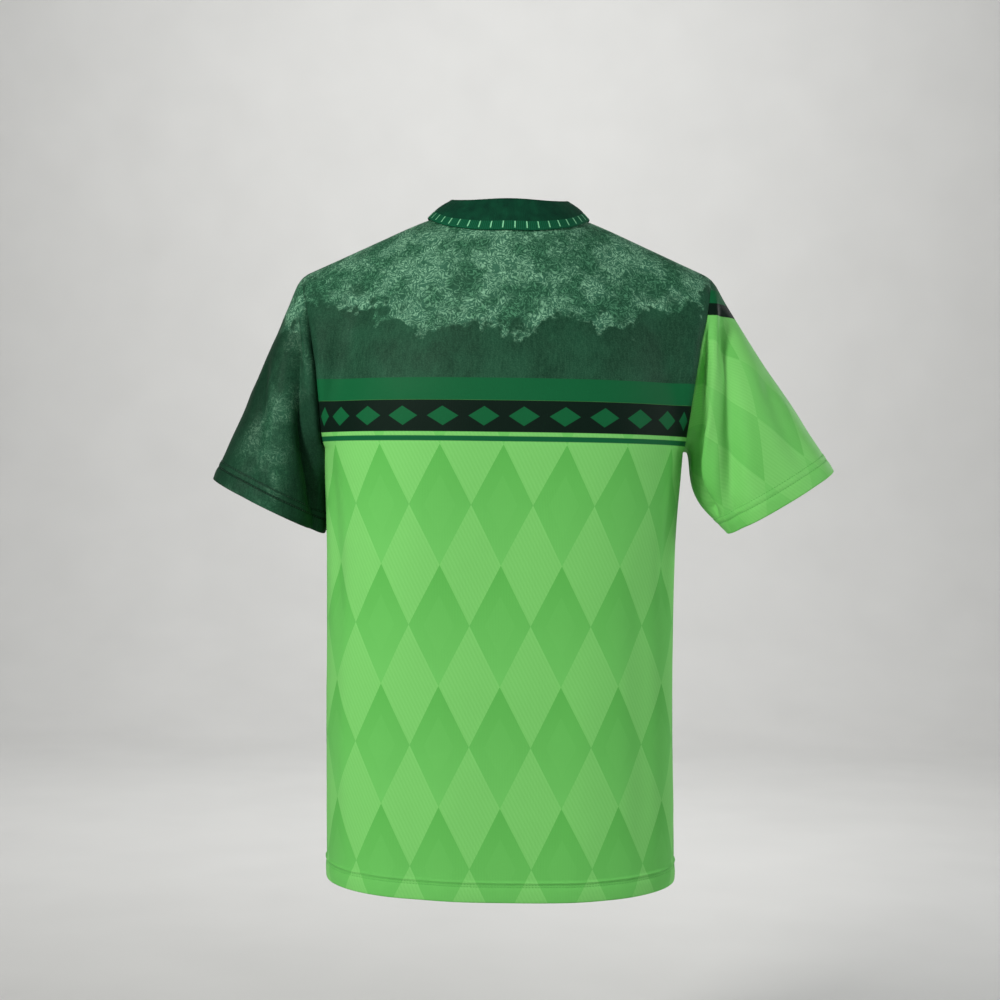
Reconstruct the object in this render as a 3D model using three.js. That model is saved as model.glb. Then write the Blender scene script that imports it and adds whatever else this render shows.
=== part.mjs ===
// A short-sleeved football jersey in the hollow shape it has when worn, with nobody in it.
// Millimetres. +Z is up, +Y is the way the wearer faces, +X is the wearer's right.
// The origin is the middle of the neck opening, level with the ends of the collar on the shoulders.
// Each cut piece is one closed wall: a grid of points down the middle of the cloth, moved out and in
// by half its thickness. Neighbouring pieces share their seam points and stand SEAM_GAP apart.
import * as THREE from 'three';

// Cloth
const CLOTH = 1.4;
const TURNED_HEM = 2.6;
const RIB_KNIT = 2.0;
const COLLAR_EDGE_RIB = 2.2;
const SEAM_GAP = 0.3;
const LONGEST_MITRE = 1.9;

// Torso
const HEM_DEPTH = 18;
const ARMPIT_Z = -239;
const SQUARENESS = 2.4;
const TORSO_SECTIONS = [
  { z: -677, middle: 0, halfWidth: 179, back: 123, front: 125 },
  { z: -560, middle: -2, halfWidth: 178.5, back: 121, front: 123 },
  { z: -430, middle: -3.5, halfWidth: 178.5, back: 120, front: 124 },
  { z: -330, middle: -3.4, halfWidth: 180, back: 123, front: 129 },
  { z: ARMPIT_Z, middle: -2.4, halfWidth: 185.5, back: 127, front: 132 },
];
const HEM_SAG = 3;
const HEM_Z = TORSO_SECTIONS[0].z;
const ARMPIT = TORSO_SECTIONS[TORSO_SECTIONS.length - 1];
const SIDE_LEAN = 0.1;

// Shoulder seam, neck and armhole
const NECK_SIDE = { x: 70, z: 4.5 };
const SHOULDER_ENDS = { [-1]: { x: -215, z: -61 }, 1: { x: 212, z: -57 } };
const NECK_FRONT_LEAVES = [0, 78, -42];
const NECK_FRONT_ARRIVES = [-84, 18, -100];
const BACK_NECK = { y: -72, z: -12 };
const FRONT_NECK = { y: 86, z: -92 };
const TOP_ROUNDING = [
  { offset: -0.16, weight: 1 }, { offset: -0.12, weight: 2 }, { offset: -0.08, weight: 3 },
  { offset: -0.04, weight: 4 }, { offset: 0, weight: 4 }, { offset: 0.04, weight: 4 },
  { offset: 0.08, weight: 3 }, { offset: 0.12, weight: 2 }, { offset: 0.16, weight: 1 },
];
const TOP_HOLD = 6;
// The way the cloth is going where it meets the top edge, at places across a panel.
const TOP_DIRECTIONS = {
  back: [
    { at: 0.0, inward: 0.0, over: 0.5, up: 0.87 },
    { at: 0.21, inward: 0.5, over: 0.55, up: 0.62 },
    { at: 0.42, inward: 0.58, over: 0.8, up: 0.24 },
    { at: 0.66, inward: 0.14, over: 1.0, up: 0.03 },
    { at: 1.0, inward: 0.0, over: 1.0, up: 0.0 },
  ],
  front: [
    { at: 0.0, inward: 0.0, over: 0.34, up: 0.94 },
    { at: 0.21, inward: 0.5, over: 0.5, up: 0.72 },
    { at: 0.42, inward: 0.55, over: 0.82, up: 0.24 },
    { at: 0.66, inward: 0.14, over: 1.0, up: 0.03 },
    { at: 1.0, inward: 0.0, over: 1.0, up: 0.0 },
  ],
};
const ARMHOLE_DEPTH = { back: 62, front: 60 };
const ARMHOLE_ROUNDNESS = 0.88;
const ARMHOLE_LEAN = { [-1]: 2, 1: 1.4 };
const NECK_SHARE = 0.42;

// Grid of a panel
const NECK_COLUMNS = 11;
const SHOULDER_COLUMNS = 9;
const UPPER_ROWS = 13;
const LOWER_ROW_Z = [
  -677, -660, -658.5, -625, -590, -550, -505, -460, -415, -370, -325, -285, -258, ARMPIT_Z,
];

// Soft troughs (depth under 0) and ridges of the torso. at is the place across a panel, from -1 at
// the wearer's left to 1 at the right, and drift is how far it wanders from its top to its bottom.
const TORSO_FOLDS = [
  { panel: 'back', at: -0.78, drift: 0.1, width: 0.07, top: -215, bottom: -440, depth: -3.2 },
  { panel: 'back', at: -0.6, drift: -0.04, width: 0.08, top: -330, bottom: -700, depth: 2.2 },
  { panel: 'back', at: -0.3, drift: 0.06, width: 0.1, top: -430, bottom: -760, depth: -2.4 },
  { panel: 'back', at: 0.0, drift: 0.0, width: 0.16, top: -110, bottom: -480, depth: -3.0 },
  { panel: 'back', at: 0.26, drift: -0.05, width: 0.09, top: -400, bottom: -760, depth: 2.0 },
  { panel: 'back', at: 0.52, drift: 0.05, width: 0.09, top: -300, bottom: -720, depth: -2.6 },
  { panel: 'back', at: 0.8, drift: -0.1, width: 0.06, top: -215, bottom: -420, depth: -3.6 },
  { panel: 'front', at: -0.8, drift: 0.12, width: 0.07, top: -215, bottom: -430, depth: -3.4 },
  { panel: 'front', at: -0.45, drift: -0.06, width: 0.1, top: -360, bottom: -740, depth: -2.6 },
  { panel: 'front', at: -0.12, drift: 0.05, width: 0.11, top: -420, bottom: -760, depth: 2.2 },
  { panel: 'front', at: 0.3, drift: 0.04, width: 0.1, top: -330, bottom: -740, depth: -2.4 },
  { panel: 'front', at: 0.77, drift: -0.1, width: 0.07, top: -215, bottom: -450, depth: -3.0 },
];

// Sleeves: the cuff is an ellipse whose long axis runs from its inner to its outer end.
const SLEEVES = [
  {
    name: 'sleeve_left', sign: -1,
    cuffOuter: { x: -303, z: -271 }, cuffInner: { x: -190.5, z: -327 }, cuffY: 4, cuffDepth: 63,
    capLeaves: [0.36, 0, -0.93], armpitLeaves: [43, 0, -14], underarmSag: 3,
  },
  {
    name: 'sleeve_right', sign: 1,
    cuffOuter: { x: 338.5, z: -255 }, cuffInner: { x: 232, z: -321 }, cuffY: -4, cuffDepth: 62,
    capLeaves: [0.45, 0, -0.89], armpitLeaves: [80, 0, 50], underarmSag: 20,
  },
];
const SIDE_LEAVES = [0.72, 0.2, -0.66];
const SLEEVE_SPREAD = { cap: 0.7, side: 0.6, cuff: 0.75, cuffUnderarm: 0.5 };
const SLEEVE_ROWS = [0, 0.07, 0.16, 0.26, 0.36, 0.46, 0.56, 0.66, 0.76, 0.85, 0.912, 0.92, 1];

// Folds of the sleeves. turn is the place around, from 0 at the shoulder through 0.25 at the back
// and 0.5 at the armpit, and top and bottom are shares of the way from the armhole to the cuff.
const SLEEVE_FOLDS = [
  { sleeve: 'sleeve_left', turn: 0.26, drift: 0.07, width: 0.032, top: -0.15, bottom: 0.95, depth: -7.0 },
  { sleeve: 'sleeve_left', turn: 0.31, drift: 0.07, width: 0.02, top: -0.15, bottom: 0.9, depth: 3.0 },
  { sleeve: 'sleeve_left', turn: 0.39, drift: 0.04, width: 0.025, top: 0.0, bottom: 0.9, depth: -4.0 },
  { sleeve: 'sleeve_left', turn: 0.16, drift: 0.02, width: 0.045, top: 0.15, bottom: 1.1, depth: -4.0 },
  { sleeve: 'sleeve_left', turn: 0.72, drift: -0.03, width: 0.04, top: -0.1, bottom: 0.9, depth: -5.5 },
  { sleeve: 'sleeve_left', turn: 0.84, drift: 0.0, width: 0.045, top: 0.2, bottom: 1.1, depth: -3.5 },
  { sleeve: 'sleeve_right', turn: 0.34, drift: 0.03, width: 0.025, top: -0.15, bottom: 0.9, depth: 3.5 },
  { sleeve: 'sleeve_right', turn: 0.27, drift: 0.03, width: 0.038, top: -0.1, bottom: 0.9, depth: -6.0 },
  { sleeve: 'sleeve_right', turn: 0.41, drift: 0.01, width: 0.03, top: 0.0, bottom: 0.95, depth: -5.5 },
  { sleeve: 'sleeve_right', turn: 0.15, drift: 0.0, width: 0.045, top: 0.3, bottom: 1.15, depth: -2.8 },
  { sleeve: 'sleeve_right', turn: 0.7, drift: -0.02, width: 0.042, top: -0.1, bottom: 0.9, depth: -5.0 },
  { sleeve: 'sleeve_right', turn: 0.82, drift: 0.0, width: 0.04, top: 0.25, bottom: 1.1, depth: -3.0 },
];

// Collar: a knitted band folded over. A row for each place along the neck, from the centre back
// to the front end: how high it stands from the seam and which way, how wide its fold is, how far
// its outer fall bows out, and how far its free edge stays clear of the panel under it.
const COLLAR_STATIONS = [
  { at: 0.0, stand: 23.5, out: -0.36, up: 0.93, foldRadius: 2.6, belly: 0.6, clear: 0.5 },
  { at: 0.25, stand: 21, out: -0.5, up: 0.87, foldRadius: 2.6, belly: 0.3, clear: 0.5 },
  { at: 0.5, stand: 18, out: -0.64, up: 0.77, foldRadius: 2.5, belly: -0.6, clear: 1.2 },
  { at: 0.62, stand: 16, out: -0.6, up: 0.8, foldRadius: 3.2, belly: 1.8, clear: 1.5 },
  { at: 0.8, stand: 12, out: -0.45, up: 0.89, foldRadius: 3.6, belly: 2.6, clear: 1.2 },
  { at: 1.0, stand: 8, out: -0.1, up: 0.99, foldRadius: 3.4, belly: 2.2, clear: 1.2 },
];
// The collar's free edge from above: half an ellipse round the back, then a curve to the point.
const COLLAR_EDGE_BACK = { x: 82, y: -76 };
const COLLAR_EDGE_BEND = { x: 74, y: 92 };
const COLLAR_POINT = { x: 38, y: 98 };
const COLLAR_EDGE_POWER = 0.97;
const COLLAR_LEAN = 2;
const COLLAR_EDGE_BAND = 9;
const COLLAR_FRONT_END = 0.97;
const FOLD_STEPS = 4;

const COLOURS = {
  yoke: 0x2a5a41,
  body: 0x66c259,
  collar: 0x0f4a30,
};

const point = (x, y, z) => new THREE.Vector3(x, y, z);
const mix = THREE.MathUtils.lerp;
const clamp = THREE.MathUtils.clamp;
const smooth = THREE.MathUtils.smoothstep;
const scaled = (v, s) => v.clone().multiplyScalar(s);

function hermite(p0, m0, p1, m1, t) {
  const t2 = t * t;
  const t3 = t2 * t;
  return point(0, 0, 0)
    .addScaledVector(p0, 2 * t3 - 3 * t2 + 1)
    .addScaledVector(m0, t3 - 2 * t2 + t)
    .addScaledVector(p1, 3 * t2 - 2 * t3)
    .addScaledVector(m1, t3 - t2);
}

// A value of a table of rows at a place between them, on a smooth curve that is level at its start.
function fromTable(rows, key, value, at) {
  let i = 0;
  while (i < rows.length - 2 && at > rows[i + 1][key]) i += 1;
  const before = rows[Math.max(i - 1, 0)];
  const low = rows[i];
  const high = rows[i + 1];
  const after = rows[Math.min(i + 2, rows.length - 1)];
  const span = high[key] - low[key];
  const t = clamp((at - low[key]) / span, 0, 1);
  const slopeLow = i === 0 ? 0 : ((high[value] - before[value]) / (high[key] - before[key])) * span;
  const slopeHigh = ((after[value] - low[value]) / (after[key] - low[key])) * span;
  const t2 = t * t;
  const t3 = t2 * t;
  return (
    low[value] * (2 * t3 - 3 * t2 + 1) +
    slopeLow * (t3 - 2 * t2 + t) +
    high[value] * (3 * t2 - 2 * t3) +
    slopeHigh * (t3 - t2)
  );
}

// A fold's share of its depth at a place across it and along it.
function foldShare(fold, across, along, wrap) {
  const t = clamp((along - fold.top) / (fold.bottom - fold.top), 0, 1);
  let offset = across - fold.at - fold.drift * t;
  if (wrap) offset -= Math.round(offset);
  const ends = smooth(t, 0, 0.35) * (1 - smooth(t, 0.65, 1));
  return Math.exp(-((offset / fold.width) ** 2)) * ends;
}

// Torso

// The direction out from the torso at a place across a panel. side is -1 on the back, 1 on the front.
function around(side, at) {
  const turn = Math.abs(at) * (Math.PI / 2);
  const power = 2 / SQUARENESS;
  return {
    x: Math.sign(at) * Math.sin(turn) ** power,
    y: side * Math.max(Math.cos(turn), 0) ** power,
  };
}

const sideName = (side) => (side < 0 ? 'back' : 'front');

function torsoSection(side, at, z) {
  const ring = around(side, at);
  const middle = fromTable(TORSO_SECTIONS, 'z', 'middle', z);
  const width = fromTable(TORSO_SECTIONS, 'z', 'halfWidth', z);
  const depth = fromTable(TORSO_SECTIONS, 'z', sideName(side), z);
  return point(middle + width * ring.x, depth * ring.y, z);
}

// The top edge of a panel: half the neck up to NECK_SHARE, then the shoulder seam.
function topEdge(side, at) {
  const sign = Math.sign(at) || 1;
  const place = Math.abs(at);
  if (place >= NECK_SHARE) {
    const t = (place - NECK_SHARE) / (1 - NECK_SHARE);
    const end = SHOULDER_ENDS[sign];
    return point(mix(sign * NECK_SIDE.x, end.x, t), 0, mix(NECK_SIDE.z, end.z, t));
  }
  const turn = (place / NECK_SHARE) * (Math.PI / 2);
  if (side < 0) {
    const rise = 1 - Math.cos(turn);
    return point(
      sign * NECK_SIDE.x * Math.sin(turn), BACK_NECK.y * Math.cos(turn), mix(BACK_NECK.z, NECK_SIDE.z, rise),
    );
  }
  const front = hermite(
    point(NECK_SIDE.x, 0, NECK_SIDE.z), point(...NECK_FRONT_LEAVES),
    point(0, FRONT_NECK.y, FRONT_NECK.z), point(...NECK_FRONT_ARRIVES), 1 - place / NECK_SHARE,
  );
  front.x *= sign;
  return front;
}

function topDirection(side, at) {
  const value = (key) => fromTable(TOP_DIRECTIONS[sideName(side)], 'at', key, Math.abs(at));
  return point(-Math.sign(at) * value('inward'), -side * value('over'), value('up')).normalize();
}

// The armhole edge of a panel, from the armpit at 0 to the end of the shoulder seam at 1.
function armholeEdge(side, sign, t) {
  const risen = mix(t, (1 - Math.cos(Math.PI * t)) / 2, ARMHOLE_ROUNDNESS);
  const end = SHOULDER_ENDS[sign];
  return point(
    mix(ARMPIT.middle + sign * ARMPIT.halfWidth, end.x, risen ** ARMHOLE_LEAN[sign]),
    side * ARMHOLE_DEPTH[sideName(side)] * Math.sin(Math.PI * t),
    mix(ARMPIT_Z, end.z, risen),
  );
}

// The top edge with its corners rounded off, by a weighted mean of the places beside each.
function roundedTop(side, at) {
  const sum = point(0, 0, 0);
  let weights = 0;
  for (const { offset, weight } of TOP_ROUNDING) {
    sum.addScaledVector(topEdge(side, clamp(at + offset, -1, 1)), weight);
    weights += weight;
  }
  return sum.divideScalar(weights);
}

// A column of the upper torso, from the chest at 0 over the shoulder to the top edge at 1. It
// heads for the rounded top, and only near its end for the top edge itself.
function upperColumn(side, at, t) {
  const ring = around(side, at);
  const start = torsoSection(side, at, ARMPIT_Z);
  const end = topEdge(side, at);
  const aim = roundedTop(side, at);
  const reach = start.distanceTo(aim);
  const rise = point(SIDE_LEAN * ring.x, 0.03 * ring.y, 1).multiplyScalar(reach * 0.95);
  const arrive = scaled(topDirection(side, at), reach * 0.9);
  return hermite(start, rise, aim, arrive, t).addScaledVector(end.sub(aim), t ** TOP_HOLD);
}

// The middle of the cloth at a place across a panel and a level: 0 at the hem, 1 at the armpits
// and 2 at the top edge.
function torsoPoint(side, at, level) {
  const sign = Math.sign(at) || 1;
  let p;
  if (level <= 1) {
    p = torsoSection(side, at, mix(HEM_Z - HEM_SAG * Math.cos((at * Math.PI) / 2), ARMPIT_Z, level));
  } else {
    const t = level - 1;
    p = upperColumn(side, at, t);
    const pull = smooth(Math.abs(at), 0.5, 1) ** 1.5;
    if (pull > 0) {
      const edge = armholeEdge(side, sign, t).sub(upperColumn(side, sign, t));
      p.addScaledVector(edge, pull);
    }
  }
  const ring = around(side, at);
  const clearOfSeam = 1 - smooth(Math.abs(at), 0.86, 0.98);
  for (const fold of TORSO_FOLDS) {
    if (fold.panel !== sideName(side)) continue;
    const depth = fold.depth * foldShare(fold, at, p.z) * clearOfSeam;
    p.x += depth * ring.x;
    p.y += depth * ring.y;
  }
  return p;
}

// Places across a panel and levels up it, the same on the back and the front.
function panelPlaces() {
  const half = [];
  for (let i = 0; i <= NECK_COLUMNS; i += 1) half.push((NECK_SHARE * i) / NECK_COLUMNS);
  for (let i = 1; i <= SHOULDER_COLUMNS; i += 1) {
    half.push(NECK_SHARE + ((1 - NECK_SHARE) * i) / SHOULDER_COLUMNS);
  }
  return [...half.slice(1).reverse().map((at) => -at), ...half];
}

function panelLevels() {
  const lower = LOWER_ROW_Z.map((z) => (z - HEM_Z) / (ARMPIT_Z - HEM_Z));
  const upper = Array.from({ length: UPPER_ROWS }, (_, i) => 1 + (i + 1) / UPPER_ROWS);
  return [...lower, ...upper];
}

const PLACES = panelPlaces();
const LEVELS = panelLevels();
const ARMPIT_ROW = LOWER_ROW_Z.length - 1;
const TOP_ROW = LEVELS.length - 1;
const LAST_COLUMN = PLACES.length - 1;

function panelGrid(side) {
  return LEVELS.map((level) => PLACES.map((at) => torsoPoint(side, at, level)));
}

// The way out of a grid of points at one of them, from its neighbours. flip is -1 where the
// grid's rows and columns turn the other way.
function gridNormal(grid, row, column, flip, wrap = false) {
  const columns = grid[0].length;
  const next = wrap ? (column + 1) % columns : Math.min(column + 1, columns - 1);
  const last = wrap ? (column + columns - 1) % columns : Math.max(column - 1, 0);
  const along = grid[row][next].clone().sub(grid[row][last]);
  const up = grid[Math.min(row + 1, grid.length - 1)][column].clone()
    .sub(grid[Math.max(row - 1, 0)][column]);
  return along.cross(up).multiplyScalar(flip).normalize();
}

function gridNormals(grid, flip, wrap = false) {
  return grid.map((line, row) => line.map((_, column) => gridNormal(grid, row, column, flip, wrap)));
}

// Seams

// The way that both walls' ends face at a seam point, and how far their shared middle moves.
function mitre(normalA, normalB) {
  const out = normalA.clone().add(normalB).normalize();
  const stretch = Math.min(1 / Math.max(out.dot(normalA), 0.1), LONGEST_MITRE);
  return { out, stretch };
}

// Half the seam gap, from the seam line towards the piece that lies in the direction given.
function stepAside(before, after, out, towards) {
  const across = after.clone().sub(before).cross(out).normalize();
  if (across.dot(towards) < 0) across.negate();
  return across.multiplyScalar(SEAM_GAP / 2);
}

// One closed wall from its middle points and the half thickness at each.
function wall(name, grid, halves, colour, wrap = false) {
  const rows = grid.length;
  const columns = grid[0].length;
  const positions = [];
  for (const way of [1, -1]) {
    grid.forEach((line, r) => line.forEach((p, c) => {
      positions.push(...p.clone().addScaledVector(halves[r][c], way).toArray());
    }));
  }
  const outer = (r, c) => r * columns + (c % columns);
  const inner = (r, c) => rows * columns + outer(r, c);
  const faces = [];
  const quad = (a, b, c, d) => faces.push(a, b, c, a, c, d);
  const lastColumn = wrap ? columns : columns - 1;
  for (let r = 0; r < rows - 1; r += 1) {
    for (let c = 0; c < lastColumn; c += 1) {
      quad(outer(r, c), outer(r, c + 1), outer(r + 1, c + 1), outer(r + 1, c));
      quad(inner(r, c), inner(r + 1, c), inner(r + 1, c + 1), inner(r, c + 1));
    }
  }
  for (let c = 0; c < lastColumn; c += 1) {
    quad(inner(0, c), inner(0, c + 1), outer(0, c + 1), outer(0, c));
    quad(outer(rows - 1, c), outer(rows - 1, c + 1), inner(rows - 1, c + 1), inner(rows - 1, c));
  }
  if (!wrap) {
    for (let r = 0; r < rows - 1; r += 1) {
      const end = columns - 1;
      quad(inner(r + 1, 0), inner(r, 0), outer(r, 0), outer(r + 1, 0));
      quad(outer(r + 1, end), outer(r, end), inner(r, end), inner(r + 1, end));
    }
  }
  const geometry = new THREE.BufferGeometry();
  geometry.setAttribute('position', new THREE.Float32BufferAttribute(positions, 3));
  geometry.setIndex(signedVolume(positions, faces) < 0 ? faces.reverse() : faces);
  geometry.computeVertexNormals();
  const mesh = new THREE.Mesh(
    geometry, new THREE.MeshStandardMaterial({ color: colour, roughness: 0.75, metalness: 0 }),
  );
  mesh.name = name;
  return mesh;
}

function signedVolume(positions, faces) {
  const corner = (i) => point(...positions.slice(3 * i, 3 * i + 3));
  let sum = 0;
  for (let i = 0; i < faces.length; i += 3) {
    sum += corner(faces[i]).dot(corner(faces[i + 1]).cross(corner(faces[i + 2])));
  }
  return sum / 6;
}

const backGrid = panelGrid(-1);
const frontGrid = panelGrid(1);

// Sleeves

// The armhole as a loop: down the back edge from the shoulder, then up the front edge.
function armholeLoop(sign) {
  const column = sign < 0 ? 0 : LAST_COLUMN;
  const loop = [];
  for (let row = TOP_ROW; row >= ARMPIT_ROW; row -= 1) loop.push({ side: -1, row, column });
  for (let row = ARMPIT_ROW + 1; row < TOP_ROW; row += 1) loop.push({ side: 1, row, column });
  return loop.map((entry) => {
    const grid = entry.side < 0 ? backGrid : frontGrid;
    return { ...entry, at: grid[entry.row][column].clone() };
  });
}

// How far round the sleeve each point of its armhole is, by length: 0 at the shoulder and 0.5 at
// the armpit.
function loopTurns(loop) {
  const half = loop.findIndex((entry) => entry.row === ARMPIT_ROW);
  const length = (from, to) => {
    let sum = 0;
    for (let i = from; i < to; i += 1) sum += loop[i].at.distanceTo(loop[(i + 1) % loop.length].at);
    return sum;
  };
  const back = length(0, half);
  const front = length(half, loop.length);
  return loop.map((_, i) => (
    i <= half ? (0.5 * length(0, i)) / back : 0.5 + (0.5 * length(half, i)) / front
  ));
}

function sleeveColumn(sleeve, start, turn, t) {
  const outer = point(sleeve.cuffOuter.x, sleeve.cuffY, sleeve.cuffOuter.z);
  const inner = point(sleeve.cuffInner.x, sleeve.cuffY, sleeve.cuffInner.z);
  const centre = outer.clone().lerp(inner, 0.5);
  const longHalf = outer.clone().sub(centre);
  const angle = turn * 2 * Math.PI;
  const end = centre.clone().addScaledVector(longHalf, Math.cos(angle));
  end.y -= sleeve.cuffDepth * Math.sin(angle);
  const cap = Math.max(Math.cos(angle), 0) ** 2;
  const underarm = Math.max(-Math.cos(angle), 0) ** 2;
  const flank = Math.sin(angle) ** 2;
  const mirrored = ([x, y, z], ySign = 1) => point(sleeve.sign * x, ySign * y, z);
  const side = Math.sin(angle) > 0 ? -1 : 1;
  const reach = start.distanceTo(end);
  const leave = mirrored(sleeve.capLeaves).multiplyScalar(cap * SLEEVE_SPREAD.cap * reach)
    .addScaledVector(mirrored(SIDE_LEAVES, side), flank * SLEEVE_SPREAD.side * reach)
    .addScaledVector(mirrored(sleeve.armpitLeaves), underarm);
  const axis = point(-longHalf.z, 0, longHalf.x).normalize();
  if (axis.z > 0) axis.negate();
  const arrive = axis.lerp(end.clone().sub(start).normalize(), 0.8 * cap)
    .multiplyScalar(reach * mix(SLEEVE_SPREAD.cuff, SLEEVE_SPREAD.cuffUnderarm, underarm));
  const p = hermite(start, leave, end, arrive, t);
  const out = end.clone().sub(centre).normalize();
  let bulge = sleeve.underarmSag * underarm * Math.sin(Math.PI * t) ** 2;
  for (const fold of SLEEVE_FOLDS) {
    if (fold.sleeve !== sleeve.name) continue;
    bulge += fold.depth * foldShare({ ...fold, at: fold.turn }, turn, t, true) * smooth(t, 0, 0.12);
  }
  return p.addScaledVector(out, bulge);
}

function buildSleeve(sleeve) {
  const loop = armholeLoop(sleeve.sign);
  const turns = loopTurns(loop);
  const grid = SLEEVE_ROWS.map((t) => loop.map((entry, i) => sleeveColumn(sleeve, entry.at, turns[i], t)));
  const normals = gridNormals(grid, sleeve.sign, true);
  return { sleeve, loop, grid, normals };
}

// Half the wall at each row of a sleeve: plain cloth, then the turned-up hem at the cuff.
function sleeveHalf(row) {
  const hemStarts = SLEEVE_ROWS.length - 2;
  return (row >= hemStarts ? TURNED_HEM : CLOTH) / 2;
}

// Panels' halves, with the sleeves and the collar mitred to their edges

function panelHalves(grid, side) {
  return gridNormals(grid, -side).map((line, row) => line.map((n) => (
    n.multiplyScalar((LEVELS[row] * (ARMPIT_Z - HEM_Z) < HEM_DEPTH ? TURNED_HEM : CLOTH) / 2)
  )));
}

const panels = {
  [-1]: { grid: backGrid, halves: panelHalves(backGrid, -1) },
  1: { grid: frontGrid, halves: panelHalves(frontGrid, 1) },
};

// Front and back part half a gap each way from their shared side and shoulder seams.
function partSeams() {
  for (const side of [-1, 1]) {
    const { grid, halves } = panels[side];
    for (const column of [0, LAST_COLUMN]) {
      const sign = column ? 1 : -1;
      for (let row = 0; row <= ARMPIT_ROW; row += 1) {
        halves[row][column] = point(sign * halves[row][column].length(), 0, 0);
        grid[row][column].y = (side * SEAM_GAP) / 2;
      }
    }
    PLACES.forEach((at, column) => {
      if (Math.abs(at) < NECK_SHARE - 1e-6) return;
      const sign = Math.sign(at);
      const end = SHOULDER_ENDS[sign];
      const out = point(sign * (NECK_SIDE.z - end.z), 0, sign * end.x - NECK_SIDE.x).normalize();
      halves[TOP_ROW][column] = out.multiplyScalar(CLOTH / 2);
      grid[TOP_ROW][column].y = (side * SEAM_GAP) / 2;
    });
  }
}

// Mitres a sleeve's first row to the armhole edges of both panels, half a gap to each side.
function seatSleeve(built) {
  const { sleeve, loop, grid, normals } = built;
  const count = loop.length;
  const away = point(sleeve.sign, 0, -0.2).normalize();
  const halves = normals.map((line, row) => line.map((n) => scaled(n, sleeveHalf(row))));
  loop.forEach((entry, i) => {
    const before = loop[(i + count - 1) % count].at;
    const after = loop[(i + 1) % count].at;
    const panelNormal = panels[entry.side].halves[entry.row][entry.column].clone().normalize();
    const { out, stretch } = mitre(panelNormal, normals[0][i]);
    const half = scaled(out, (CLOTH / 2) * stretch);
    const aside = stepAside(before, after, out, away);
    halves[0][i] = half;
    grid[0][i].add(aside);
    const shared = entry.row === TOP_ROW || entry.row === ARMPIT_ROW ? [-1, 1] : [entry.side];
    for (const side of shared) {
      panels[side].halves[entry.row][entry.column] = half.clone();
      panels[side].grid[entry.row][entry.column].sub(aside);
    }
  });
  return wall(sleeve.name, grid, halves, sleeve.sign < 0 ? COLOURS.yoke : COLOURS.body, true);
}

// Collar

// Points of the neck edge from the wearer's left front end round the back to the right front end,
// with their place on their panel and how far round they are, from -1 to 1.
function neckLine() {
  const line = [];
  const neckColumns = PLACES.map((at, column) => ({ at, column }))
    .filter(({ at }) => Math.abs(at) <= NECK_SHARE + 1e-6);
  for (const { at, column } of neckColumns) {
    line.push({ side: -1, at, column, round: (0.5 * at) / NECK_SHARE });
    if (Math.abs(at) < 1e-6 || Math.abs(at) > NECK_SHARE - 1e-6) continue;
    line.push({ side: 1, at, column, round: Math.sign(at) * (1 - (0.5 * Math.abs(at)) / NECK_SHARE) });
  }
  return line.sort((a, b) => a.round - b.round).map((entry) => ({
    ...entry, seam: topEdge(entry.side, entry.at),
  }));
}

function collarEnd(sign, line) {
  const near = sign < 0 ? line[0] : line[line.length - 1];
  const round = sign * COLLAR_FRONT_END;
  const t = (COLLAR_FRONT_END - Math.abs(near.round)) / (1 - Math.abs(near.round));
  return { side: 1, at: near.at * (1 - t), round, seam: near.seam.clone().lerp(topEdge(1, 0), t) };
}

// The collar's free edge seen from above.
function collarEdgePlan(round) {
  const sign = Math.sign(round) || 1;
  const share = Math.abs(round);
  if (share <= 0.5) {
    const turn = share * Math.PI;
    return {
      side: -1,
      x: sign * COLLAR_EDGE_BACK.x * Math.sin(turn) ** COLLAR_EDGE_POWER,
      y: COLLAR_EDGE_BACK.y * Math.max(Math.cos(turn), 0) ** COLLAR_EDGE_POWER,
    };
  }
  const t = (share - 0.5) / 0.5;
  const curve = (a, b, c) => a * (1 - t) ** 2 + 2 * b * t * (1 - t) + c * t * t;
  return {
    side: 1,
    x: sign * curve(COLLAR_EDGE_BACK.x, COLLAR_EDGE_BEND.x, COLLAR_POINT.x),
    y: curve(0, COLLAR_EDGE_BEND.y, COLLAR_POINT.y),
  };
}

// The place on a panel's upper part that lies under a point seen from above, by Newton's method.
function placeUnder({ side, x, y }) {
  const step = 1e-3;
  let at = clamp(x / 160, -0.8, 0.8);
  let level = 1.9;
  for (let i = 0; i < 25; i += 1) {
    const here = torsoPoint(side, at, level);
    const alongAt = torsoPoint(side, at + step, level).sub(here).divideScalar(step);
    const alongLevel = torsoPoint(side, at, level - step).sub(here).divideScalar(-step);
    const offX = x - here.x;
    const offY = y - here.y;
    const area = alongAt.x * alongLevel.y - alongAt.y * alongLevel.x;
    at += clamp((offX * alongLevel.y - offY * alongLevel.x) / area, -0.08, 0.08);
    level += clamp((alongAt.x * offY - alongAt.y * offX) / area, -0.08, 0.08);
    at = clamp(at, -0.98, 0.98);
    level = clamp(level, 1.3, 2);
  }
  return { side, at, level };
}

function torsoNormal(side, at, level) {
  const step = 0.004;
  const up = torsoPoint(side, at, Math.min(level + step, 2)).sub(torsoPoint(side, at, level - step));
  const along = torsoPoint(side, at + step, level).sub(torsoPoint(side, at - step, level));
  return along.cross(up).multiplyScalar(-side).normalize();
}

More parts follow.
